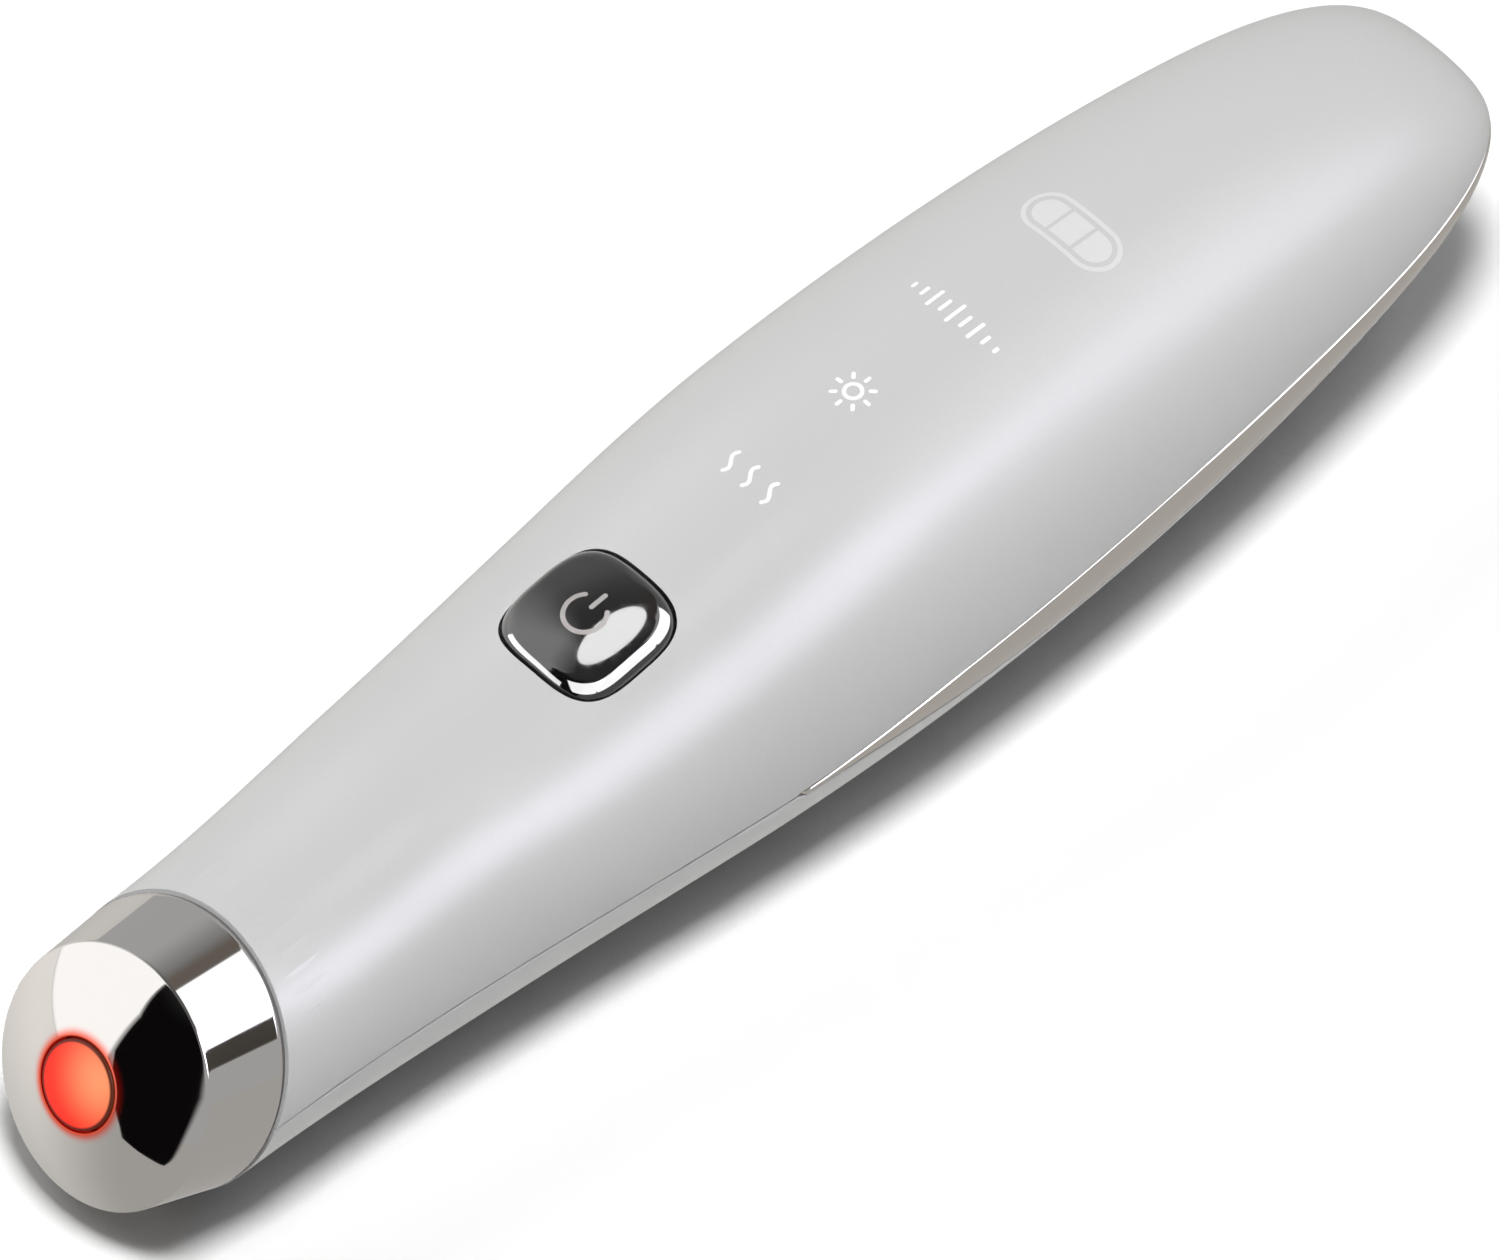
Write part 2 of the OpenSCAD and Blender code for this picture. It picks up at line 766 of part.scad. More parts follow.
module charge_board() color("seagreen") {
  difference() {
    translate([ring_x + charge_s, -charge_board_w / 2, charge_board_z])
      cube([charge_board_l - wall, charge_board_w, board_t]);
    at_charge_screws()
      screw_hole();
  }
}
module charge_socket() color("silver") {
  tongue_t = 0.7;
  inner_w = socket_w - 2 * socket_wall;
  inner_h = socket_h - 2 * socket_wall;
  translate([ring_x + socket_s - socket_len, 0, socket_z]) {
    difference() {
      slot_block(socket_w, socket_h, socket_len);
      translate([1, 0, 0])
        slot_block(inner_w, inner_h, socket_len);
    }
    translate([0.5, -inner_w * 0.36, -tongue_t / 2])
      cube([socket_len - 1.2, inner_w * 0.72, tongue_t]);
  }
}
module board_screws() color("dimgray") {
  at_main_screws()
    screw();
  at_switch_screws()
    screw();
  at_charge_screws()
    screw();
}

upper_shell();
lower_shell();
side_trim();
massage_head();
neck_gasket();
head_carrier();
heater_ring();
light_window();
window_washer();
led_board();
head_led();
button_cap();
button_gasket();
switch_board();
tact_switch();
switch_stem();
main_board();
light_guides();
battery_cell();
battery_pads();
motor_can();
motor_sleeve();
motor_shaft();
eccentric_weight();
charge_board();
charge_socket();
board_screws();
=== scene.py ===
"""Finished pieces of an eye massage wand: pearl coats, chrome, lit window, button and marks."""

from math import asin, atan2, copysign, cos, pi, radians, sin, sqrt

import bpy
from mathutils import Matrix, Quaternion, Vector


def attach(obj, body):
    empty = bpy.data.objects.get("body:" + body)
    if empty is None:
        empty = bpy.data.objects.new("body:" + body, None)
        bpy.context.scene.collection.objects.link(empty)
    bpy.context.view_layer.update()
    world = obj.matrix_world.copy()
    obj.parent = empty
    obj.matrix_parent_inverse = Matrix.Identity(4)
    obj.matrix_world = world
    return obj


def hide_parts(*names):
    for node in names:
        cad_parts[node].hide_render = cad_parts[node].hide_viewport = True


bl_info = {
    "name": "Eye massage wand",
    "version": (1, 0, 0),
    "blender": (4, 5, 0),
    "location": "3D View > Sidebar > Wand",
    "description": "Builds the finished pieces of an eye massage wand on its CAD frame",
    "category": "Object",
}

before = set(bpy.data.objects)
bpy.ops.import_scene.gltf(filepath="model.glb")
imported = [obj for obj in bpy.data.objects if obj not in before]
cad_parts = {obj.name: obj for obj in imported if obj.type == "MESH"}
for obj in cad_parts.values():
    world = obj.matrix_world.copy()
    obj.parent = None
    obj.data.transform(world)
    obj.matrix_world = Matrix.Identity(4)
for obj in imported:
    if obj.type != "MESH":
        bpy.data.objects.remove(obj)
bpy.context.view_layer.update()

MM = 0.001

# The CAD model's measures, in metres. A name that ends in _S is a station along the housing,
# measured from the neck
LENGTH = 150.4 * MM
NECK_R = 11.85 * MM
BELLY_W, BELLY_S = 34.2 * MM, 72 * MM
TAIL_W, TAIL_ROUND, TAIL_N = 21 * MM, 24 * MM, 4
SHOULDER_H, SHOULDER_S = 12.45 * MM, 28 * MM
CROWN_H, CROWN_S = 17 * MM, 71 * MM
SEAM_RISE, SEAM_S, SEAM_POWER = 5.2 * MM, 50 * MM, 1.2
KEEL_S, SOLE_CUT, SOLE_RUN = 83 * MM, 0.5 * MM, 24 * MM
SECTION_N, LEAN_RUN = 2.1, 36 * MM
FACE_TILT = radians(29.8)
BAND_LEN, HEAD_DROP, CREASE_R, DOME_R = 6.8 * MM, 2 * MM, 10.65 * MM, 17.6 * MM
HEAD_WALL, GASKET_T = 1 * MM, 0.4 * MM
LENS_R, LENS_PROUD, LENS_COLLAR, LENS_COLLAR_T = 3.65 * MM, 0.3 * MM, 1 * MM, 0.8 * MM
WASHER_T = 0.3 * MM
BUTTON_S, BUTTON_W, BUTTON_PROUD, BUTTON_DOME_R = 44 * MM, 12 * MM, 1.3 * MM, 18 * MM
SQUIRCLE_N = 3.4
FLANGE_LOW, FLANGE_T, FLANGE_W = -6.35 * MM, 1 * MM, 14.2 * MM
PLUNGER_LOW, STEM_R = -8.15 * MM, 1.5 * MM
TRIM_S, TRIM_UP, TRIM_H, TRIM_T, TRIM_PROUD = 51.5 * MM, 1 * MM, 3.5 * MM, 1 * MM, 0.15 * MM
MODE_S, MODE_PITCH, GAUGE_S = 61.5 * MM, 11.1 * MM, 96.5 * MM
SOCKET_W, SOCKET_H, SOCKET_DROP = 9 * MM, 3.3 * MM, 5.7 * MM
FIT = 0.15 * MM

# The scene's own measures
TRIM_TIP = 19 * MM  # run over which the trim's top edge grows from its point
TRIM_LOW_TIP = 1.9 * TRIM_TIP  # the same for its lower edge
TRIM_THIN = 0.1  # share of the trim's reach that its thin ends keep
TRIM_SINK_S, TRIM_SINK = 92 * MM, 34 * MM  # where its top edge begins to sink, and over what run
TRIM_CROWN = 0.022  # swell of the trim's face, as a share of its height
SOLE_IN = 0.04 * MM  # the coat ends this far inside the flat that the wand rests on
FLOOR_GAP = 0.05 * MM  # the floor lies this far under that flat
CAP_GAP, HOLE_GAP = 0.04 * MM, 0.08 * MM  # cap's edge inside the CAD cap's, hole's edge outside
CAP_FLAT = 0.8  # share of x that the cap's dome feels, so it is flatter along the wand
EDGE_R, EDGE_MID = 0.12 * MM, 0.3  # round on the head's edges, and the share at its middle
NUDGE = 0.004  # step along an outline that gives its direction
MERGE, SLIVER = 2e-7, 1e-7  # closer vertices are joined, smaller faces dissolved

DOME_BASE = sqrt(DOME_R**2 - CREASE_R**2)
HEAD_REACH = DOME_R + (BAND_LEN - DOME_BASE) * cos(FACE_TILT) + HEAD_DROP * sin(FACE_TILT)
RING_X = HEAD_REACH - LENGTH / 2
BODY_LEN = LENGTH - HEAD_REACH
SEAM_H = NECK_R * cos(FACE_TILT)
FORWARD = Vector((-cos(FACE_TILT), 0, sin(FACE_TILT)))
UPWARD = Vector((sin(FACE_TILT), 0, cos(FACE_TILT)))
ACROSS = Vector((0, 1, 0))
RING = Vector((RING_X, 0, SEAM_H))
FACE = RING - HEAD_DROP * UPWARD


def between(a, b, share):
    """The value at a share of the way from a to b."""
    return a + (b - a) * share


def ease(t):
    """Smooth step from 0 to 1."""
    t = min(max(t, 0), 1)
    return t * t * (3 - 2 * t)


def blend(a, b, t):
    """Goes smoothly from a to b as t goes from 0 to 1."""
    return between(a, b, ease(t))


def round_off(t, n):
    """Falls from 1 to 0 as a superellipse does."""
    return max(0, 1 - min(max(t, 0), 1) ** n) ** (1 / n)


def bow(c, n):
    """A cosine or sine, bent for a superellipse of power n."""
    return copysign(abs(c) ** (2 / n), c)


# Outline of the housing at a station s
def half_width(s):
    if s < BELLY_S:
        return blend(NECK_R, BELLY_W / 2, s / BELLY_S)
    taper = (BELLY_W - (BELLY_W - TAIL_W) * ((s - BELLY_S) / (BODY_LEN - BELLY_S)) ** 2) / 2
    return taper * round_off((s - BODY_LEN + TAIL_ROUND) / TAIL_ROUND, TAIL_N)


def crown(s):
    """Height of the top above the seam."""
    if s < SHOULDER_S:
        return blend(NECK_R, SHOULDER_H, s / SHOULDER_S)
    if s < CROWN_S:
        return blend(SHOULDER_H, CROWN_H, (s - SHOULDER_S) / (CROWN_S - SHOULDER_S))
    return CROWN_H * round_off((s - CROWN_S) / (BODY_LEN - CROWN_S), 2)


def seam_z(s):
    return SEAM_H + SEAM_RISE * max(0, (s - SEAM_S) / (BODY_LEN - SEAM_S)) ** SEAM_POWER


def top_z(s):
    return seam_z(s) + crown(s)


def lean(s):
    """Tilt of the section, which meets the slanted head at the neck."""
    return FACE_TILT * (1 - ease(s / LEAN_RUN))


def keel_full(s):
    return (seam_z(s) + SOLE_CUT * ease(s / SOLE_RUN)) / cos(lean(s))


def keel(s):
    """Depth of the underside below the seam, before the sole's flat is cut."""
    return keel_full(s) * round_off((s - KEEL_S) / (BODY_LEN - KEEL_S), 2)


def power(s):
    """Power of the section's superellipse."""
    return 2 + (SECTION_N - 2) * ease(s / SHOULDER_S)


def skin(s, a, lift=0.0):
    """A point on the housing's skin at station s and angle a round its section."""
    n = power(s)
    rise = (keel(s) if sin(a) < 0 else crown(s)) + lift
    h = max(rise * bow(sin(a), n), (SOLE_IN - seam_z(s)) / cos(lean(s)))
    y = (half_width(s) + lift) * bow(cos(a), n)
    return Vector((RING_X + s + h * sin(lean(s)), y, seam_z(s) + h * cos(lean(s))))


def roof(s, y, lift):
    """A point above the housing's top at station s and distance y from the middle."""
    n = power(s)
    share = max(0, 1 - (abs(y) / half_width(s)) ** n) ** (1 / n)
    return Vector((RING_X + s, y, seam_z(s) + crown(s) * share + lift))


def tail_end(drop):
    """Station where the outline at a drop below the seam ends at the tail."""
    if drop < 0:
        return CROWN_S + (BODY_LEN - CROWN_S) * sqrt(1 - (drop / CROWN_H) ** 2)
    return KEEL_S + (BODY_LEN - KEEL_S) * sqrt(1 - (drop / keel_full(BODY_LEN)) ** 2)


def trim_edge(s, side):
    """How far the trim reaches above the seam (side 1) or below it (side -1)."""
    run = TRIM_TIP if side > 0 else TRIM_LOW_TIP
    growth = TRIM_THIN + (1 - TRIM_THIN) * ease((s - TRIM_S) / run)
    if side < 0:
        return TRIM_H * growth
    # The top edge sinks to the seam towards the tail
    return TRIM_UP * growth * (1 - (1 - TRIM_THIN) * ease((s - TRIM_SINK_S) / TRIM_SINK))


def squircle(half, a):
    """A point of the button's outline at angle a."""
    return half * bow(cos(a), SQUIRCLE_N), half * bow(sin(a), SQUIRCLE_N)


# The button lies square to the top line
BUTTON_TILT = atan2(top_z(BUTTON_S + MM) - top_z(BUTTON_S - MM), 2 * MM)
BUTTON_FRAME = Matrix.Translation((RING_X + BUTTON_S, 0, top_z(BUTTON_S))) @ Matrix.Rotation(
    -BUTTON_TILT, 4, "Y"
)


def head_point(r, d, a):
    """A point of the head, whose band slants down, at radius r and distance d from the neck."""
    middle = RING + d * FORWARD - HEAD_DROP * min(1, d / BAND_LEN) * UPWARD
    return middle + r * sin(a) * UPWARD + r * cos(a) * ACROSS


def dome_d(r, big):
    """Distance from the neck to a dome of radius big at radius r."""
    return BAND_LEN + sqrt(big**2 - r**2) - DOME_BASE


WINDOW = FACE + dome_d(0, DOME_R) * FORWARD


# Modelling
def start_clean():
    if bpy.context.mode != "OBJECT":
        bpy.ops.object.mode_set(mode="OBJECT")
    bpy.ops.object.select_all(action="DESELECT")


def pick(piece):
    start_clean()
    piece.select_set(True)
    bpy.context.view_layer.objects.active = piece


def weld(piece, outward=True):
    """Joins the vertices that meet at seams and poles, and turns the faces outward."""
    pick(piece)
    bpy.ops.object.mode_set(mode="EDIT")
    bpy.ops.mesh.select_all(action="SELECT")
    bpy.ops.mesh.remove_doubles(threshold=MERGE)
    bpy.ops.mesh.dissolve_degenerate(threshold=SLIVER)
    if outward:
        bpy.ops.mesh.select_all(action="SELECT")
        bpy.ops.mesh.normals_make_consistent(inside=False)
    bpy.ops.object.mode_set(mode="OBJECT")


def lay_sheet(name, rows, columns, place, outward=True):
    """Lays a sheet of quads over a surface: place(row, column) says where each corner goes."""
    start_clean()
    bpy.ops.mesh.primitive_grid_add(x_subdivisions=rows, y_subdivisions=columns, size=2)
    sheet = bpy.context.object
    sheet.name = sheet.data.name = name
    for v in sheet.data.vertices:
        v.co = place(round((v.co.x + 1) / 2 * rows), round((v.co.y + 1) / 2 * columns))
    weld(sheet, outward)
    return sheet


def lay_profile(name, profile, steps, place):
    """Turns a profile round: place(profile point, angle) says where each corner goes."""
    last = len(profile) - 1
    return lay_sheet(name, last, steps, lambda i, j: place(profile[i], 2 * pi * j / steps))


def add_rod(sides, deep):
    """Adds a rod of radius 1 along Z, whose corners are then placed one by one."""
    start_clean()
    bpy.ops.mesh.primitive_cylinder_add(vertices=sides, radius=1, depth=deep)
    return bpy.context.object


def apply_modifier(piece, kind, **settings):
    pick(piece)
    modifier = piece.modifiers.new(kind.title(), kind)
    for key, value in settings.items():
        setattr(modifier, key, value)
    bpy.ops.object.modifier_apply(modifier=modifier.name)


def cut(piece, cutter):
    apply_modifier(piece, "BOOLEAN", operation="DIFFERENCE", solver="MANIFOLD", object=cutter)
    bpy.data.objects.remove(cutter)


def smooth(piece, angle):
    """Shades a piece smooth, except over edges sharper than the angle in degrees."""
    pick(piece)
    bpy.ops.object.shade_smooth_by_angle(angle=radians(angle))


def join(name, parts):
    start_clean()
    for part in parts:
        part.select_set(True)
    bpy.context.view_layer.objects.active = parts[0]
    bpy.ops.object.join()
    parts[0].name = parts[0].data.name = name
    return parts[0]


def dress(piece, finish):
    """Gives a piece a finish in place of any it has."""
    piece.data.materials.clear()
    piece.data.materials.append(finish)


def hand_over(piece, finish, body="housing", replaces=()):
    """Gives a finished piece its material, its body and the nodes it stands for."""
    if not piece.data.polygons:
        raise RuntimeError(piece.name + " has no faces")
    dress(piece, finish)
    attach(piece, body)
    if replaces:
        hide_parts(*replaces)


def refinish(nodes, finish):
    """Gives pieces of the CAD frame a finish and leaves their meshes alone."""
    for node in nodes:
        dress(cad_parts[node], finish)


def stroke(name, path, steps, width, lay, height, closed=False):
    """A printed line along a path in the plane, as a thin raised bead with round ends."""
    # Corners of the bead's section, in halves of the width and in heights
    section = ((-1, -0.6), (-0.96, 0.7), (-0.7, 1), (0, 1))
    section += ((0.7, 1), (0.96, 0.7), (1, -0.6), (0, -0.6))
    points = [Vector(path(k / steps)) for k in range(steps + 1)]
    along = [0.0]
    for a, b in zip(points, points[1:]):
        along.append(along[-1] + (b - a).length)

    def place(i, j):
        run = points[min(i + 1, steps)] - points[max(i - 1, 0)]
        if closed and i in (0, steps):
            run = points[1] - points[steps - 1]
        side = Vector((-run.y, run.x)).normalized()
        left = min(along[i], along[-1] - along[i])
        share = 1
        if not closed and left <= width / 2:
            share = sqrt(max(0, 1 - (1 - 2 * left / width) ** 2))
        across, up = section[j % len(section)]
        at = points[i] + side * (across * share * width / 2)
        return lay(at.x, at.y, up * height if share else 0)

    return lay_sheet(name, steps, len(section), place)


def patch(name, corners, lay, height):
    """A printed solid shape whose outline runs through the corners."""
    middle = sum((Vector(c) for c in corners), Vector((0, 0))) / len(corners)
    # Share of the way to the outline, and height
    rings = ((0, 1), (0.5, 1), (0.94, 1), (1, 0.6), (1, -0.6), (0, -0.6))

    def place(i, j):
        share, up = rings[i]
        at = between(middle, Vector(corners[j % len(corners)]), share)
        return lay(at.x, at.y, up * height)

    return lay_sheet(name, len(rings) - 1, len(corners), place)


# Nodes
def linear(shade):
    """An sRGB hex colour as linear red, green, blue and alpha."""
    parts = [int(shade[k : k + 2], 16) / 255 for k in (1, 3, 5)]
    return [c / 12.92 if c <= 0.04045 else ((c + 0.055) / 1.055) ** 2.4 for c in parts] + [1.0]


def rgba(shade):
    """Linear red, green, blue and alpha of a hex colour or of a colour setting."""
    return linear(shade) if isinstance(shade, str) else list(shade) + [1.0]


def add(tree, kind, values=None, links=None, **fields):
    """Adds a shader node with its fields, socket values and links."""
    made = tree.nodes.new("ShaderNode" + kind)
    for key, value in fields.items():
        setattr(made, key, value)
    for socket, value in (values or {}).items():
        made.inputs[socket].default_value = value
    for socket, source in (links or {}).items():
        tree.links.new(source, made.inputs[socket])
    return made


def new_material(name):
    finish = bpy.data.materials.new(name)
    finish.use_nodes = True
    finish.node_tree.nodes.clear()
    return finish, finish.node_tree


def end_with(tree, shader):
    add(tree, "OutputMaterial", links={"Surface": shader.outputs[0]})


def end_principled(tree, values, links):
    end_with(tree, add(tree, "BsdfPrincipled", values, links))


def coords(tree, kind="Object"):
    """Where the shaded point lies, as a rule on the piece."""
    return add(tree, "TexCoord").outputs[kind]


def grain(tree, size, detail):
    """Noise whose grains are about that size in metres, fixed to the piece."""
    values = {"Scale": 1 / size, "Detail": detail}
    return add(tree, "TexNoise", values, {"Vector": coords(tree)}).outputs[0]


def remap(tree, source, start, end, low=0.0, high=1.0, curve="LINEAR"):
    """Maps a value's range from start to end to a range from low to high."""
    values = {"From Min": start, "From Max": end, "To Min": low, "To Max": high}
    node = add(tree, "MapRange", values, {"Value": source}, interpolation_type=curve)
    return node.outputs[0]


def spread(tree, noise, low, high):
    """Maps 0.3 to 0.7 of a noise, where most of it lies, to a range of values."""
    return remap(tree, noise, 0.3, 0.7, low, high)


def mix_shades(tree, share, first, second):
    values = {6: rgba(first), 7: rgba(second)}
    return add(tree, "Mix", values, {0: share}, data_type="RGBA").outputs[2]


def times(tree, source, factor):
    return add(tree, "Math", {1: factor}, {0: source}, operation="MULTIPLY").outputs[0]


def distance_from(tree, point):
    """Distance from a point that is fixed to the piece."""
    links = {0: coords(tree)}
    return add(tree, "VectorMath", {1: point}, links, operation="DISTANCE").outputs["Value"]


def relief(tree, height, strength, deep):
    bump = {"Strength": strength, "Distance": deep}
    return add(tree, "Bump", bump, {"Height": height}).outputs[0]


# Materials
def moulded(name, light, dark, rough, size, bump=0.0, metal=0.0, coat=0.0, shine=0.5):
    """A plain made surface: colour that drifts a little, roughness and relief from one grain."""
    finish, tree = new_material(name)
    noise = grain(tree, size, 3.0)
    links = {
        "Base Color": mix_shades(tree, spread(tree, noise, 0.0, 1.0), dark, light),
        "Roughness": spread(tree, noise, rough * 0.85, rough * 1.15),
    }
    if bump:
        links["Normal"] = relief(tree, noise, 0.4, bump)
    values = {"Metallic": metal, "Coat Weight": coat, "Coat Roughness": 0.08}
    end_principled(tree, values | {"Specular IOR Level": shine}, links)
    return finish


def pearl_lacquer(looks):
    """Sprayed pearl lacquer under a satin clear coat."""
    finish, tree = new_material("sprayed pearl lacquer with satin clear coat")
    # Mica flakes a few hundredths of a millimetre wide make the satin glow uneven close up
    flakes = grain(tree, 0.06 * MM, 1.0)
    # The sprayed film dries with a faint orange peel of about two millimetres
    peel = grain(tree, 2.2 * MM, 1.0)
    share, rough = spread(tree, flakes, 0.0, 1.0), looks.pearl_rough
    end_principled(
        tree,
        {"IOR": 1.6, "Coat Weight": 0.35, "Coat Roughness": 0.22},
        {
            "Base Color": mix_shades(tree, share, looks.pearl_dark, looks.pearl),
            "Roughness": spread(tree, flakes, rough - 0.03, rough + 0.03),
            "Normal": relief(tree, peel, 0.1, 0.01 * MM),
        },
    )
    return finish


def bright_chrome(name, metal, rough, glow=None):
    """Mirror plating. A glow is painted light: the metal round the window is tinted red and glows,
    standing in for the window's red light falling on it.
    """
    finish, tree = new_material(name)
    # Polishing leaves a slow haze, which only breaks up the sharpest reflections
    haze = grain(tree, 3 * MM, 3.0)
    values = {"Base Color": rgba(metal), "Metallic": 1.0}
    links = {"Roughness": spread(tree, haze, rough * 0.6, rough * 1.5)}
    if glow:
        # Painted glow: red tint and emission on the metal, fading out away from the window
        far, end = distance_from(tree, WINDOW), LENS_R + glow.glow_width
        fall = remap(tree, far, LENS_R, end, 1.0, 0.0, "SMOOTHERSTEP")
        links["Base Color"] = mix_shades(tree, fall, metal, "#e0502e")
        links["Emission Strength"] = times(tree, fall, glow.glow_strength)
        values["Emission Color"] = rgba(glow.window_red)
    end_principled(tree, values, links)
    return finish


def lit_window(looks):
    """Moulded red diffuser lit from behind: orange over its lamp, deep red at the rim."""
    finish, tree = new_material("moulded red diffuser lit from behind")
    # The lamp sits a little to one side, so one flank of the window is paler
    lamp = WINDOW - 1.9 * MM * ACROSS + 1.8 * MM * UPWARD
    span = remap(tree, distance_from(tree, lamp), 0.0, 5.5 * MM)
    tone = add(tree, "ValToRGB", links={0: span})
    tone.color_ramp.interpolation = "EASE"
    for stop, shade in zip(tone.color_ramp.elements, (looks.window_warm, looks.window_red)):
        stop.color = rgba(shade)
    # The rim is shaded by the metal, so it is almost black
    far = distance_from(tree, WINDOW)
    rim = remap(tree, far, LENS_R - 0.34 * MM, LENS_R - 0.16 * MM, 1.0, 0.08)
    end_principled(
        tree,
        {"Base Color": linear("#3a0a06"), "Roughness": 0.25, "Specular IOR Level": 0.3},
        {
            "Emission Color": tone.outputs[0],
            "Emission Strength": times(tree, rim, looks.window_strength),
        },
    )
    return finish


def piano_black(looks):
    """Polished black plastic under a hard clear coat."""
    finish, tree = new_material("polished black plastic with hard coat")
    # Fine wiping marks only soften the mirror a little
    wipe = grain(tree, 0.8 * MM, 2.0)
    black = rgba(looks.button_black)
    end_principled(
        tree,
        {"Base Color": black, "IOR": 1.8, "Coat Weight": 1.0, "Coat Roughness": 0.02},
        {"Roughness": spread(tree, wipe, 0.04, 0.09)},
    )
    return finish


def circuit_board():
    """Green solder mask over copper tracks."""
    finish, tree = new_material("solder masked circuit board")
    # Tracks just under a millimetre apart show as paler lines under the mask
    tracks = add(
        tree,
        "TexBrick",
        {
            "Color1": linear("#1d6b3d"), "Color2": linear("#185c34"), "Mortar": linear("#2c8a52"),
            "Scale": 1.0, "Mortar Size": 0.12 * MM,
            "Brick Width": 3.2 * MM, "Row Height": 0.9 * MM,
        },
        {"Vector": coords(tree)},
    )
    values = {"Roughness": 0.35, "Coat Weight": 0.5}
    end_principled(tree, values, {"Base Color": tracks.outputs[0]})
    return finish


def floor_paper():
    """Matt white paper with a painted contact shadow under the wand, seen from above only, so that
    the underside can be looked at.
    """
    finish, tree = new_material("matt white paper with painted contact shadow")
    fibre = grain(tree, 0.4 * MM, 2.0)
    side = add(tree, "NewGeometry")
    ray = add(tree, "LightPath")
    # Painted contact shadow: ambient occlusion darkens the paper's colour close under the wand
    close = add(tree, "AmbientOcclusion", {"Distance": 9.5 * MM}, samples=8)
    white = remap(tree, close.outputs["AO"], 0.3, 0.66, 0.47, 0.97, "SMOOTHSTEP")
    rough = spread(tree, fibre, 0.0, 0.1)
    paper = add(tree, "BsdfDiffuse", links={"Color": white, "Roughness": rough})
    # In the metal, cards below the floor show in its place
    links = {0: ray.outputs["Is Glossy Ray"], 1: side.outputs["Backfacing"]}
    hidden = add(tree, "Math", links=links, operation="MAXIMUM")
    clear = add(tree, "BsdfTransparent")
    links = {0: hidden.outputs[0], 1: paper.outputs[0], 2: clear.outputs[0]}
    end_with(tree, add(tree, "MixShader", links=links))
    return finish


def card_light(name, shade, strength, soft):
    """Light of a studio card that fades out towards its left, right, lower and upper edge."""
    finish, tree = new_material(name)
    axes = add(tree, "SeparateXYZ", links={0: coords(tree, "UV")})
    light = add(tree, "Emission", {"Color": linear(shade), "Strength": strength})
    for axis, start, run in zip("XXYY", (0, 1, 0, 1), soft):
        if run:
            full = 1 - run if start else run
            fade = remap(tree, axes.outputs[axis], start, full, curve="SMOOTHSTEP")
            clear = add(tree, "BsdfTransparent")
            links = {0: fade, 1: clear.outputs[0], 2: light.outputs[0]}
            light = add(tree, "MixShader", links=links)
    end_with(tree, light)
    return finish


# Settings
def length(name, about, default):
    return bpy.props.FloatProperty(
        name=name, description=about, default=default, min=0, unit="LENGTH", precision=5
    )


def colour(name, about, default):
    shade = linear(default)[:3]
    return bpy.props.FloatVectorProperty(
        name=name, description=about, default=shade, min=0, max=1, subtype="COLOR"
    )


def amount(name, about, default, least, most):
    return bpy.props.FloatProperty(
        name=name, description=about, default=default, min=least, max=most
    )


class WandSizes(bpy.types.PropertyGroup):
    coat_lift: length("Coat lift", "Height of the lacquer above the moulded shells", 0.05 * MM)
    coat_t: length("Coat thickness", "Thickness of the lacquered skin", 0.12 * MM)
    seam_w: length("Seam width", "Width of the line between the shells", 0.26 * MM)
    edge_r: length("Edge radius", "Radius on the edges of the lacquered skins", 0.1 * MM)
    trim_r: length("Trim edge radius", "Radius on the edges of the chrome trim", 0.28 * MM)
    crease_round: length("Crease radius", "Radius between the head's band and face", 0.35 * MM)
    cap_round: length("Button edge radius", "Radius on the rim of the button", 1.15 * MM)
    print_w: length("Print line width", "Width of the printed lines on the top", 0.36 * MM)
    print_h: length("Print height", "Height of the printing above the surface", 0.02 * MM)
    symbol_w: length("Symbol line width", "Width of the lines of the symbol", 0.42 * MM)


class WandLooks(bpy.types.PropertyGroup):
    pearl: colour("Pearl", "Colour of the pearl lacquer", "#cdcdcd")
    pearl_dark: colour("Pearl shade", "Colour of the lacquer between its flakes", "#c7c7c7")
    pearl_rough: amount("Pearl roughness", "Roughness of the pearl lacquer", 0.36, 0.05, 1)
    head_metal: colour("Head metal", "Colour of the plated head", "#dedbd8")
    trim_metal: colour("Trim metal", "Colour of the plated trim", "#e4dfd8")
    window_red: colour("Window red", "Colour of the window towards its edge", "#ff2a14")
    window_warm: colour("Window warm", "Colour of the window over its lamp", "#ff9a68")
    window_strength: amount("Window light", "Strength of the window's light", 1.0, 0, 20)
    glow_strength: amount("Glow", "Strength of the red light round the window", 0.16, 0, 5)
    glow_width: length("Glow width", "Width of the red light on the metal", 1.25 * MM)
    button_black: colour("Button black", "Colour of the button", "#0d0c0c")
    ink: colour("Ink", "Colour of the printed marks", "#fdfdfd")
    gauge_ink: colour("Gauge ink", "Colour of the printed charge gauge", "#dcdcdc")
    symbol_ink: colour("Symbol ink", "Colour of the button's symbol", "#85817f")


def wand_settings(context):
    return context.scene.wand_sizes, context.scene.wand_looks


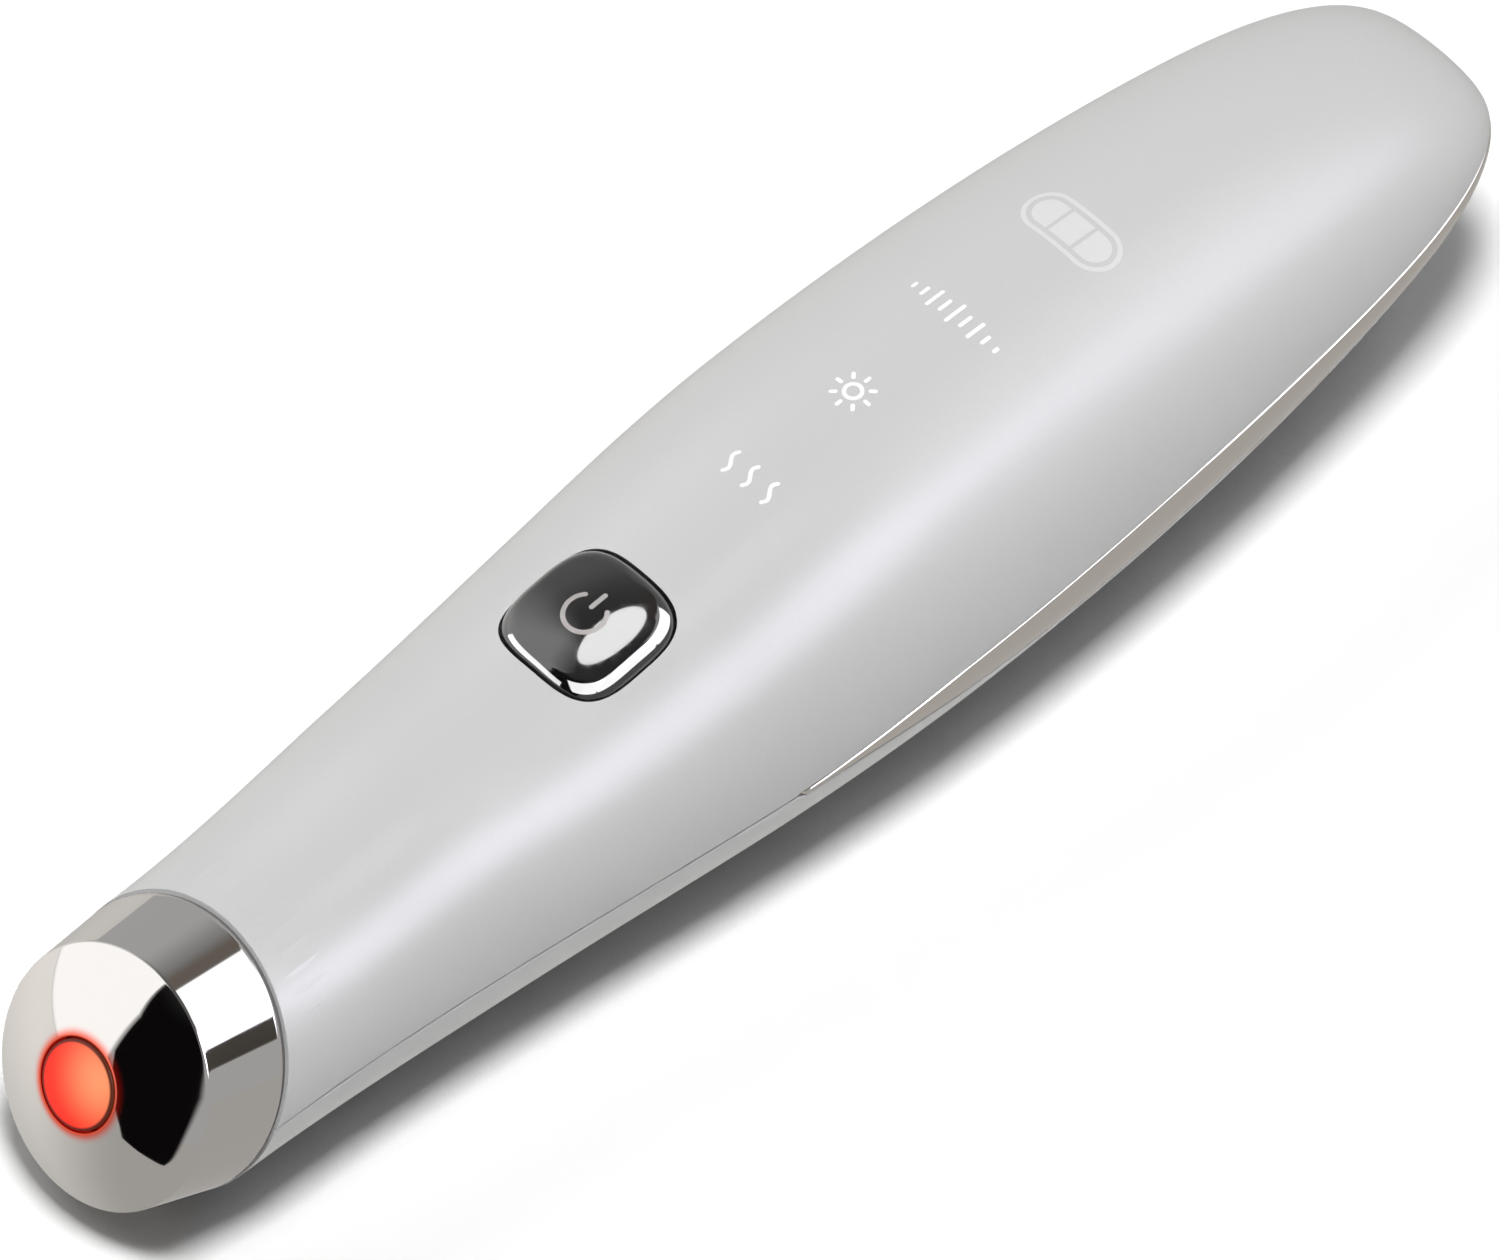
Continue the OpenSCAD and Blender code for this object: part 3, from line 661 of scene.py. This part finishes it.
# Operators
class WAND_OT_pearl_coats(bpy.types.Operator):
    """Lays the pearl coat over the upper and the lower shell"""

    bl_idname = "wand.pearl_coats"
    bl_label = "Pearl coats"

    def execute(self, context):
        sizes, looks = wand_settings(context)
        finish = pearl_lacquer(looks)
        coats = (
            ("pearl_coat_top", 1, self.button_hole),
            ("pearl_coat_under", -1, self.socket_mouth),
        )
        for name, side, opening in coats:
            coat = self.lay_coat(name, side, sizes)
            apply_modifier(coat, "SOLIDIFY", thickness=sizes.coat_t, offset=-1, use_rim=True)
            cut(coat, opening())
            weld(coat)
            smooth(coat, 40)
            hand_over(coat, finish)
        refinish(("upper_shell", "lower_shell"), finish)
        return {"FINISHED"}

    def lay_coat(self, name, side, sizes):
        """One skin with its edge rolled in along the seam and the trim."""
        rows, middle, lip = 240, 100, 6
        columns = middle + 2 * lip
        # Share of the lip that is rolled, depth of the hem behind it, run where the lift ends
        roll, hem, fade = 0.65, 0.4 * MM, 20 * MM
        end = tail_end(-side * (trim_edge(BODY_LEN, side) + FIT + sizes.edge_r))

        def rim(s):
            line = sizes.seam_w / 2 if s < TRIM_S else trim_edge(s, side) + FIT
            return line + sizes.edge_r

        def edge_angle(s):
            reach = crown(s) if side > 0 else keel(s)
            return asin(min(1, (rim(s) / max(reach, 1e-9)) ** (power(s) / 2)))

        def lift(s):
            return sizes.coat_lift * (1 - ease((s - end + fade) / fade))

        def edge(w):
            s = end * cos(pi / 2 * w)
            a = edge_angle(s) if w > 0 else pi - edge_angle(s)
            return skin(s, side * a, lift(s))

        def place(i, j):
            w = 1 - i / rows
            s = end * cos(pi / 2 * w)
            if lip <= j <= columns - lip:
                low = edge_angle(s)
                start = pi - low if side > 0 else 2 * pi - low
                return skin(s, start + (j - lip) / middle * (2 * low - pi), lift(s))
            share = j / lip if j < lip else (columns - j) / lip
            w *= -side if j < lip else side
            run = edge(min(w + NUDGE, 1)) - edge(max(w - NUDGE, -1))
            out = Vector((run.y, -run.x, 0)).normalized()
            inner = edge(w) - sizes.edge_r * out
            turn = min(1, (1 - share) / roll) * pi / 2
            deep = max(0, 1 - share / (1 - roll)) * hem
            drop = Vector((0, 0, side * sizes.edge_r * sin(turn)))
            return inner + out * (sizes.edge_r * cos(turn) - deep) - drop

        return lay_sheet(name, rows, columns, place, outward=False)

    def button_hole(self):
        hole = add_rod(120, 12 * MM)
        for v in hole.data.vertices:
            x, y = squircle(BUTTON_W / 2 + HOLE_GAP, atan2(v.co.y, v.co.x))
            v.co = BUTTON_FRAME @ Vector((x, y, v.co.z))
        return hole

    def socket_mouth(self):
        """An oblong rod through the tail."""
        half_w, half_h = SOCKET_W / 2 + FIT, SOCKET_H / 2 + FIT
        mouth = add_rod(64, 30 * MM)
        z = seam_z(BODY_LEN) - SOCKET_DROP
        for v in mouth.data.vertices:
            a = atan2(v.co.y, v.co.x)
            y = copysign(half_w - half_h, cos(a)) + half_h * cos(a)
            v.co = (RING_X + BODY_LEN + v.co.z, y, z + half_h * sin(a))
        weld(mouth)
        return mouth


class WAND_OT_side_trim(bpy.types.Operator):
    """Makes the chrome trim that runs round the tail"""

    bl_idname = "wand.side_trim"
    bl_label = "Side trim"

    def execute(self, context):
        sizes, looks = wand_settings(context)
        rows, face, corner = 360, 12, 6
        short = 0.05 * MM  # the trim stops this far inside the housing's end

        def outline(u, drop):
            s = TRIM_S + (tail_end(drop) - TRIM_S - short) * cos(pi / 2 * u)
            reach = crown(s) if drop < 0 else keel(s)
            left = max(0, 1 - min(1, abs(drop) / reach) ** power(s)) ** (1 / power(s))
            return s, Vector((RING_X + s, copysign(half_width(s) * left, u), 0))

        def place(i, j):
            u = -1 + 2 * i / rows
            about = TRIM_S + (BODY_LEN - TRIM_S) * cos(pi / 2 * u)
            high, low = -trim_edge(about, 1), trim_edge(about, -1)
            r = min(sizes.trim_r, 0.35 * (low - high))  # smaller where the trim is thin
            if i in (0, rows):
                drop, out = (high + low) / 2, -TRIM_T / 2
            else:
                drop, out = self.section(j, face, corner, high, low, r)
            s, at = outline(u, drop)
            run = outline(u + NUDGE, drop)[1] - outline(u - NUDGE, drop)[1]
            normal = Vector((run.y, -run.x, 0)).normalized()
            return at + out * normal + Vector((0, 0, seam_z(s) - drop))

        trim = lay_sheet("side_trim_strip", rows, face + 2 * corner + 4, place)
        smooth(trim, 50)
        chrome = bright_chrome("plated trim, bright chrome on plastic", looks.trim_metal, 0.07)
        hand_over(trim, chrome, replaces=("side_trim",))
        return {"FINISHED"}

    def section(self, j, face, corner, high, low, r):
        """Drop and outward reach at corner j of the section: a crowned face, two round edges."""
        swell = TRIM_CROWN * (low - high)
        edge = TRIM_PROUD - swell
        if j <= corner:
            turn = j / corner * pi / 2
            return high + r - r * cos(turn), edge - r + r * sin(turn)
        if j < corner + face:
            share = (j - corner) / face
            bulge = swell * (1 - (2 * share - 1) ** 2)
            return high + r + (low - high - 2 * r) * share, edge + bulge
        if j <= 2 * corner + face:
            turn = (j - corner - face) / corner * pi / 2
            return low - r + r * sin(turn), edge - r + r * cos(turn)
        ends = ((low, -TRIM_T), ((low + high) / 2, -TRIM_T), (high, -TRIM_T), (high, edge - r))
        return ends[j - 2 * corner - face - 1]


class WAND_OT_massage_head(bpy.types.Operator):
    """Makes the plated head with its slanted band, round crease and domed face"""

    bl_idname = "wand.massage_head"
    bl_label = "Massage head"

    def execute(self, context):
        sizes, looks = wand_settings(context)
        profile = self.profile(sizes.crease_round)
        head = lay_profile("plated_head", profile, 160, lambda p, a: head_point(p[0], p[1], a))
        smooth(head, 40)
        name = "plated head, mirror chrome on metal"
        chrome = bright_chrome(name, looks.head_metal, 0.035, looks)
        hand_over(head, chrome, replaces=("massage_head",))
        return {"FINISHED"}

    def profile(self, crease):
        """Radius and distance from the neck, round the wall from the window's lip and back."""
        dome_steps, crease_steps, band_steps, inner_steps = 60, 10, 24, 8
        # Middle of the round that touches both the band and the dome
        run = Vector((CREASE_R - NECK_R, BAND_LEN)).normalized()
        inward = Vector((-run.y, run.x))
        dome_middle = Vector((0, BAND_LEN - DOME_BASE))
        start = Vector((NECK_R, 0)) + crease * inward - dome_middle
        along = start.dot(run)
        t = -along + sqrt(along**2 - start.length_squared + (DOME_R - crease) ** 2)
        middle = start + t * run + dome_middle
        from_a, to_a = atan2(*(middle - dome_middle).yx), atan2(*(-inward).yx)

        # Lip of the window's hole, then the face and the crease
        lip = LENS_R + FIT
        lip_d = dome_d(lip, DOME_R)
        profile = [(lip, lip_d - 3 * EDGE_R), (lip, lip_d - EDGE_R)]
        profile.append((lip + EDGE_MID * EDGE_R, lip_d - EDGE_MID * EDGE_R))
        for k in range(dome_steps + 1):
            r = between(lip + EDGE_R, DOME_R * cos(from_a), k / dome_steps)
            profile.append((r, dome_d(r, DOME_R)))
        for k in range(1, crease_steps + 1):
            a = between(from_a, to_a, k / crease_steps)
            profile.append((middle.x + crease * cos(a), middle.y + crease * sin(a)))

        # Band, its edge at the gasket, then the inside
        last_r, last_d = profile[-1]
        back, back_r = GASKET_T, between(NECK_R, CREASE_R, GASKET_T / BAND_LEN)
        for k in range(1, band_steps + 1):
            share = k / band_steps
            profile.append((between(last_r, back_r, share), between(last_d, back + EDGE_R, share)))
        profile.append((back_r - EDGE_MID * EDGE_R, back + EDGE_MID * EDGE_R))
        profile += [(back_r - EDGE_R, back), (back_r - HEAD_WALL, back)]
        inner_r = CREASE_R - 1.6 * HEAD_WALL
        for k in range(inner_steps + 1):
            r = between(inner_r, lip, k / inner_steps)
            profile.append((r, dome_d(r, DOME_R - HEAD_WALL)))
        return profile + profile[:1]


class WAND_OT_light_window(bpy.types.Operator):
    """Makes the domed red window in the face of the head"""

    bl_idname = "wand.light_window"
    bl_label = "Light window"

    def execute(self, context):
        dome_steps, edge_steps = 24, 6
        edge = 0.22 * MM  # round on the window's rim
        collar_r = LENS_R + LENS_COLLAR
        low = dome_d(collar_r, DOME_R - HEAD_WALL) - FIT - WASHER_T - LENS_COLLAR_T
        high = low + LENS_COLLAR_T
        ball = (LENS_R**2 + LENS_PROUD**2) / (2 * LENS_PROUD)
        profile = []
        for k in range(dome_steps + 1):
            r = (LENS_R - edge) * k / dome_steps
            profile.append((r, dome_d(LENS_R, DOME_R) + LENS_PROUD - ball + sqrt(ball**2 - r**2)))
        top = profile[-1][1]
        for k in range(1, edge_steps + 1):
            a = k / edge_steps * pi / 2
            profile.append((LENS_R - edge + edge * sin(a), top - edge + edge * cos(a)))
        profile += [(LENS_R, high), (collar_r, high), (collar_r, low), (0, low)]

        def place(p, a):
            return FACE + p[1] * FORWARD + p[0] * (sin(a) * UPWARD + cos(a) * ACROSS)

        window = lay_profile("lit_window", profile, 96, place)
        smooth(window, 40)
        finish = lit_window(context.scene.wand_looks)
        hand_over(window, finish, replaces=("light_window",))
        return {"FINISHED"}


class WAND_OT_button(bpy.types.Operator):
    """Makes the black button and the symbol on it"""

    bl_idname = "wand.button"
    bl_label = "Button"

    def execute(self, context):
        sizes, looks = wand_settings(context)
        half, r = BUTTON_W / 2 - CAP_GAP, sizes.cap_round

        def place(p, a):
            share, kind, z = p
            x, y = squircle(half * share, a)
            if kind == "top":
                z = self.top(x, y) - z
            elif kind != "level":
                stem = STEM_R if kind == "stem" else 0
                x, y = stem * cos(a), stem * sin(a)
            return BUTTON_FRAME @ Vector((x, y, z))

        cap = lay_profile("button_gloss_cap", self.profile(half, r), 144, place)
        smooth(cap, 45)
        gloss = piano_black(looks)
        hand_over(cap, gloss, body="button", replaces=("button_cap",))

        def lay(x, y, lift):
            return BUTTON_FRAME @ Vector((x, y, self.top(x, y) + lift))

        ring_r, gap = 1.75 * MM, radians(38)
        bar_from, bar_len = 0.5 * MM, 1.9 * MM

        def ring(t):
            a = gap + t * (2 * pi - 2 * gap)
            return ring_r * cos(a), ring_r * sin(a)

        def bar(t):
            return bar_from + t * bar_len, 0

        parts = [
            stroke("symbol_" + name, path, steps, sizes.symbol_w, lay, sizes.print_h)
            for name, path, steps in (("ring", ring, 72), ("bar", bar, 30))
        ]
        symbol = join("button_symbol", parts)
        smooth(symbol, 60)
        ink = moulded("pad printed grey ink", looks.symbol_ink, "#7d7977", 0.5, 0.2 * MM)
        hand_over(symbol, ink, body="button")
        return {"FINISHED"}

    def top(self, x, y):
        """Height of the cap's dome."""
        return BUTTON_PROUD - BUTTON_DOME_R + sqrt(BUTTON_DOME_R**2 - (CAP_FLAT * x) ** 2 - y * y)

    def profile(self, half, r):
        """Share of the outline, kind of place and height, from the top's middle to the stem."""
        dome_steps, edge_steps = 20, 14
        inside, wide = 1 - r / half, FLANGE_W / BUTTON_W
        profile = [(inside * k / dome_steps, "top", 0.0) for k in range(dome_steps + 1)]
        for k in range(1, edge_steps + 1):
            turn = k / edge_steps * pi / 2
            profile.append((inside + (1 - inside) * sin(turn), "top", r * (1 - cos(turn))))
        profile += [(share, "level", FLANGE_LOW + FLANGE_T) for share in (1, wide)]
        profile += [(share, "level", FLANGE_LOW) for share in (wide, 0.6)]
        profile += [(0, "stem", FLANGE_LOW), (0, "stem", PLUNGER_LOW), (0, "end", PLUNGER_LOW)]
        return profile


class WAND_OT_top_marks(bpy.types.Operator):
    """Prints the three mode marks and the charge gauge on the top"""

    bl_idname = "wand.top_marks"
    bl_label = "Top marks"

    def execute(self, context):
        sizes, looks = wand_settings(context)
        white = moulded("screen printed white ink", looks.ink, "#f4f4f4", 0.45, 0.2 * MM)
        pale = moulded("screen printed pale ink", looks.gauge_ink, "#d8d8d8", 0.45, 0.2 * MM)
        marks = (
            ("heat_mark", self.heat, MODE_S, white),
            ("light_mark", self.light, MODE_S + MODE_PITCH, white),
            ("vibration_mark", self.vibration, MODE_S + 2 * MODE_PITCH, white),
            ("charge_gauge", self.gauge, GAUGE_S, pale),
        )
        for name, shapes, s, ink in marks:

            def lay(x, y, up):
                return roof(s + x, y, sizes.coat_lift + up)

            mark = join(name, shapes(lay, sizes))
            smooth(mark, 60)
            hand_over(mark, ink)
        return {"FINISHED"}

    def lines(self, paths, steps, lay, sizes):
        return [stroke("line", path, steps, sizes.print_w, lay, sizes.print_h) for path in paths]

    def heat(self, lay, sizes):
        """Three rising waves."""
        half, swing, pitch = 1.15 * MM, 0.32 * MM, 2.2 * MM

        def wave(k):
            return lambda t: (half * (1 - 2 * t), k * pitch + swing * sin(2 * pi * t))

        return self.lines([wave(k) for k in (-1, 0, 1)], 40, lay, sizes)

    def light(self, lay, sizes):
        """A ring with eight rays."""
        ring_r, ray_from, ray_len = 0.72 * MM, 1.2 * MM, 0.75 * MM

        def ring(t):
            return ring_r * cos(2 * pi * t), ring_r * sin(2 * pi * t)

        def ray(a):
            return lambda t: tuple((ray_from + ray_len * t) * c for c in (cos(a), sin(a)))

        parts = [stroke("ring", ring, 48, sizes.print_w, lay, sizes.print_h, True)]
        return parts + self.lines([ray(k * pi / 4) for k in range(8)], 16, lay, sizes)

    def vibration(self, lay, sizes):
        """Nine bars that swell and fade."""
        pitch = 1.15 * MM
        halves = [c * MM for c in (1.2, 0.75, 1.05, 0.55, 0.35)]  # from the middle bar outward

        def bar(k):
            return lambda t: ((2 * t - 1) * halves[abs(k)], pitch * k)

        return self.lines([bar(k) for k in range(-4, 5)], 24, lay, sizes)

    def gauge(self, lay, sizes):
        """A pill with three bars in it."""
        line_w, round_r, straight = 0.42 * MM, 2.1 * MM, 2.5 * MM
        half_turn = pi * round_r
        half_round = half_turn + 2 * straight

        def pill(t):
            run = t % 1 * 2 * half_round
            far = run > half_round
            run -= far * half_round
            if run < half_turn:
                x, y = round_r * cos(run / round_r), straight + round_r * sin(run / round_r)
            else:
                x, y = -round_r, straight - (run - half_turn)
            return (-x, -y) if far else (x, y)

        parts = [stroke("pill", pill, 160, line_w, lay, sizes.print_h, True)]
        inner, gap, ends, steps = 1.45 * MM, 0.17 * MM, 1.35 * MM, 20
        turns = [pi * k / steps for k in range(steps + 1)]
        arc = [(inner * cos(a), straight + inner * sin(a)) for a in turns]
        arc += [(-inner, ends + gap), (inner, ends + gap)]
        for side in (1, -1):
            corners = [(x, side * y) for x, y in arc]
            parts.append(patch("end_bar", corners, lay, sizes.print_h))
        square = ((-1, -1), (0, -1), (1, -1), (1, 0), (1, 1), (0, 1), (-1, 1), (-1, 0))
        corners = [(inner * x, (ends - gap) * y) for x, y in square]
        parts.append(patch("middle_bar", corners, lay, sizes.print_h))
        return parts


# What the inner pieces are made of: name, pale and dark tone, roughness, grain and relief in
# millimetres, other settings, pieces. Drawn, sintered and etched metals keep a fine grain that
# breaks up the reflection
METAL = {"metal": 1.0}
INNER = (
    ("moulded grey silicone", "#6d6c6b", "#5f5e5d", 0.6, 0.3, 0.01, {},
     ("neck_gasket", "window_washer", "button_gasket")),
    ("moulded white plastic", "#efefec", "#e6e6e2", 0.5, 0.5, 0.01, {},
     ("head_carrier", "switch_stem")),
    ("moulded clear plastic", "#eef2f4", "#e2e8ec", 0.15, 1, 0, {"shine": 0.6},
     ("head_led", "light_guides")),
    ("moulded black plastic", "#1c1c1c", "#141414", 0.45, 0.4, 0.01, {}, ("tact_switch",)),
    ("moulded black rubber", "#232323", "#191919", 0.8, 0.3, 0.02, {}, ("motor_sleeve",)),
    ("closed cell foam", "#4a4a4c", "#2e2e30", 0.95, 0.4, 0.2, {}, ("battery_pads",)),
    ("shrunk blue sleeve", "#2f5f9a", "#28548a", 0.3, 0.8, 0.02, {"coat": 0.4},
     ("battery_cell",)),
    ("drawn steel", "#c9c8c5", "#b4b3b0", 0.25, 0.25, 0.004, METAL,
     ("motor_can", "motor_shaft", "charge_socket", "board_screws")),
    ("sintered tungsten", "#77757a", "#626066", 0.45, 0.15, 0.01, METAL, ("eccentric_weight",)),
    ("etched copper film", "#b8734a", "#a5623c", 0.35, 0.3, 0.004, METAL, ("heater_ring",)),
)
BOARDS = ("led_board", "switch_board", "main_board", "charge_board")


class WAND_OT_inner_finishes(bpy.types.Operator):
    """Gives the pieces inside the wand, the gasket and the socket their finishes"""

    bl_idname = "wand.inner_finishes"
    bl_label = "Inner finishes"

    def execute(self, context):
        for name, light, dark, rough, size, bump, other, nodes in INNER:
            refinish(nodes, moulded(name, light, dark, rough, size * MM, bump * MM, **other))
        refinish(BOARDS, circuit_board())
        return {"FINISHED"}


# The camera looks at a point of the wand, towards an azimuth from +X and with a dip, in degrees
CAMERA_AIM, CAMERA_FAR = Vector((-3.236, -1.956, 11.16)) * MM, 1.172
CAMERA_AZIMUTH, CAMERA_DIP = 46.595, 52.003
FOCAL_PX, PHOTO_W, SENSOR_W = 14860, 1500, 36  # the last one in millimetres

ROOM_LIGHT = 0.05
LAMP_AIM = Vector((0, 0, 12 * MM))
# Each lamp has an azimuth from +X, an elevation, a distance, a width, a height and watts
LAMPS = (
    ("key", -90, 87, 1.0, 0.3, 0.3, 9.0),
    ("back", 100, 40, 1.2, 1.0, 0.4, 3.4),
    ("fill", -54, 9, 0.43, 0.4, 0.12, 0.34),
)
# Lamps that only the gloss of the button catches: a wall of three beside it and one at its left
GLOSS_LAMPS = [(f"button_wall_{k}", 52 * k - 140, 32, 2.0, 1.95, 1.9, 88) for k in range(3)]
GLOSS_LAMPS.append(("button_side", 147, 12, 2.0, 2.2, 1.0, 43))
# An oval one overhead, and its twist
GLOSS_OVAL, OVAL_TWIST = ("button_top", 47, 77, 2.0, 0.95, 0.62, 9.3), 48

# Cards that only show as reflections. Each row of a card gives its elevation and two azimuths.
# Then come its colour, its strength, how much of its left, right, lower and upper side fades
# out, and its distance: where two overlap, the nearer one shows
LILAC, WHITE, PAPER = "#f0f0ff", "#ffffff", "#fffcf8"
BROWN, DARK_BROWN, BLACK = "#6e665f", "#48443f", "#0d0b0c"
WHITE_ROWS = ((-1, 72, 165), (27, 72, 161), (45, 72, 158), (64, 74, 144), (80, 80, 140))
BLACK_TIP = ((-15, 199, 201), (-12, 189, 204), (-9, 181, 206), (-4, 179, 208))
BLACK_ROWS = BLACK_TIP + ((25, 161, 218), (45, 158, 219), (68, 141, 219), (78, 140, 219))
CARDS = (
    ("soft_box", ((28, -94, -60), (61, -94, -60)), LILAC, 6.4, (0.3, 0, 0.32, 0.32), 3),
    ("soft_box_end", ((18, -60, 2), (52, -60, 2)), LILAC, 3.9, (0, 0.75, 0.4, 0.15), 3),
    ("pale_wall", ((47, -52, 9), (66, -52, 9)), WHITE, 1.5, (0, 0.05, 0, 0), 3),
    ("dark_edge", ((38, 10, 36), (68, 9, 36)), BROWN, 1.0, (0.1, 0.6, 0, 0), 3),
    ("dark_foot", ((23, -74, -58), (38, -67, -52)), DARK_BROWN, 1.0, (0, 0, 0.2, 0.2), 2.8),
    ("white_wall", WHITE_ROWS, WHITE, 1.3, (0.3, 0.03, 0.05, 0.22), 3),
    ("black_cloth", BLACK_ROWS, BLACK, 1.0, (0.03, 0.08, 0, 0.22), 3),
    ("lit_floor", ((-75, 38, 182), (-0.5, 38, 182)), PAPER, 0.98, (0.42, 0.42, 0.8, 0), 3.2),
    ("dim_floor", ((-89, -180, 180), (-0.5, -180, 180)), PAPER, 0.45, (0, 0, 0, 0), 3.4),
)


def toward(azimuth, elevation):
    """Direction at an azimuth from +X and an elevation, both in degrees."""
    a, e = radians(azimuth), radians(elevation)
    return Vector((cos(e) * cos(a), cos(e) * sin(a), sin(e)))


class WAND_OT_stage(bpy.types.Operator):
    """Sets the floor, the room, the lamps, the cards and the camera"""

    bl_idname = "wand.stage"
    bl_label = "Stage"

    def execute(self, context):
        scene = context.scene
        start_clean()
        bpy.ops.mesh.primitive_plane_add(size=8, location=(0, 0, -FLOOR_GAP))
        floor = context.object
        floor.name = "floor"
        dress(floor, floor_paper())

        self.room(scene)
        for lamp in LAMPS:
            self.lamp(*lamp)
        for card in CARDS:
            self.card(*card)
        gloss = bpy.data.collections.new("gloss of the button")
        for name in ("button_gloss_cap", "button_symbol"):
            gloss.objects.link(bpy.data.objects[name])
        self.lamp(*GLOSS_OVAL, gloss, "ELLIPSE", OVAL_TWIST)
        for lamp in GLOSS_LAMPS:
            self.lamp(*lamp, gloss)

        self.camera(scene)
        scene.view_settings.view_transform = "Standard"
        return {"FINISHED"}

    def room(self, scene):
        """The room is white to the camera, grey in the mirror of the metal and dim as a light."""
        scene.world = bpy.data.worlds.new("studio")
        scene.world.use_nodes = True
        tree = scene.world.node_tree
        tree.nodes.clear()
        ray = add(tree, "LightPath")
        axes = add(tree, "SeparateXYZ", links={0: coords(tree, "Generated")})
        # In the mirror the room is darker overhead
        walls = remap(tree, axes.outputs["Z"], 0.6, 0.95, 0.45, 0.12, "SMOOTHSTEP")
        links = {0: ray.outputs["Is Glossy Ray"], 3: walls}
        mirrored = add(tree, "Mix", {2: ROOM_LIGHT}, links)
        links = {0: ray.outputs["Is Camera Ray"], 2: mirrored.outputs[0]}
        level = add(tree, "Mix", {3: 1.0}, links)
        sky = add(tree, "Background", {"Color": (1, 1, 1, 1)}, {"Strength": level.outputs[0]})
        add(tree, "OutputWorld", links={"Surface": sky.outputs[0]})

    def lamp(
        self, name, azimuth, elevation, far, wide, tall, watts,
        gloss=None, shape="RECTANGLE", twist=0,
    ):
        """An area lamp. One for a gloss is mirrored there and lights nothing."""
        data = bpy.data.lights.new(name, "AREA")
        data.shape = shape
        data.size, data.size_y, data.energy = wide, tall, watts
        box = bpy.data.objects.new(name, data)
        box.location = LAMP_AIM + far * toward(azimuth, elevation)
        ahead = (LAMP_AIM - box.location).to_track_quat("-Z", "Y")
        box.rotation_euler = (ahead @ Quaternion((0, 0, 1), radians(twist))).to_euler()
        box.visible_camera = False
        box.visible_glossy, box.visible_diffuse = bool(gloss), not gloss
        if gloss:
            box.light_linking.receiver_collection = gloss
        bpy.context.scene.collection.objects.link(box)

    def card(self, name, rows, shade, strength, soft, far):
        """A curved card that the metal and the lacquer mirror."""
        wide_steps, steps = 16, 8

        def place(i, j):
            k = min(j // steps, len(rows) - 2)
            low, high, share = rows[k], rows[k + 1], j / steps - k
            height, left, right = (blend(a, b, share) for a, b in zip(low, high))
            return far * toward(between(left, right, i / wide_steps), height)

        card = lay_sheet(name, wide_steps, steps * (len(rows) - 1), place, outward=False)
        dress(card, card_light(name + " light", shade, strength, soft))
        card.visible_camera = card.visible_diffuse = False
        card.visible_shadow = card.visible_transmission = False

    def camera(self, scene):
        """A camera where the photo's camera stood."""
        ahead = toward(CAMERA_AZIMUTH, -CAMERA_DIP)
        lens = bpy.data.cameras.new("camera")
        lens.sensor_fit = "HORIZONTAL"
        lens.sensor_width = SENSOR_W
        lens.lens = SENSOR_W * FOCAL_PX / PHOTO_W
        camera = bpy.data.objects.new("camera", lens)
        scene.collection.objects.link(camera)
        camera.location = CAMERA_AIM - CAMERA_FAR * ahead
        camera.rotation_euler = ahead.to_track_quat("-Z", "Y").to_euler()
        scene.camera = camera


STEPS = (
    WAND_OT_pearl_coats,
    WAND_OT_side_trim,
    WAND_OT_massage_head,
    WAND_OT_light_window,
    WAND_OT_button,
    WAND_OT_top_marks,
    WAND_OT_inner_finishes,
    WAND_OT_stage,
)


class WAND_PT_panel(bpy.types.Panel):
    """Sizes, colours and steps of the wand"""

    bl_idname = "WAND_PT_panel"
    bl_label = "Eye massage wand"
    bl_space_type = "VIEW_3D"
    bl_region_type = "UI"
    bl_category = "Wand"

    def draw(self, context):
        for group in wand_settings(context):
            box = self.layout.box()
            for key in group.__annotations__:
                box.prop(group, key)
        for step in STEPS:
            self.layout.operator(step.bl_idname)


CLASSES = (WandSizes, WandLooks) + STEPS + (WAND_PT_panel,)


def register():
    for each in CLASSES:
        bpy.utils.register_class(each)
    bpy.types.Scene.wand_sizes = bpy.props.PointerProperty(type=WandSizes)
    bpy.types.Scene.wand_looks = bpy.props.PointerProperty(type=WandLooks)


def unregister():
    del bpy.types.Scene.wand_looks
    del bpy.types.Scene.wand_sizes
    for each in reversed(CLASSES):
        bpy.utils.unregister_class(each)


def main():
    register()
    bpy.ops.wand.pearl_coats()
    bpy.ops.wand.side_trim()
    bpy.ops.wand.massage_head()
    bpy.ops.wand.light_window()
    bpy.ops.wand.button()
    bpy.ops.wand.top_marks()
    bpy.ops.wand.inner_finishes()
    bpy.ops.wand.stage()


if __name__ == "__main__":
    main()
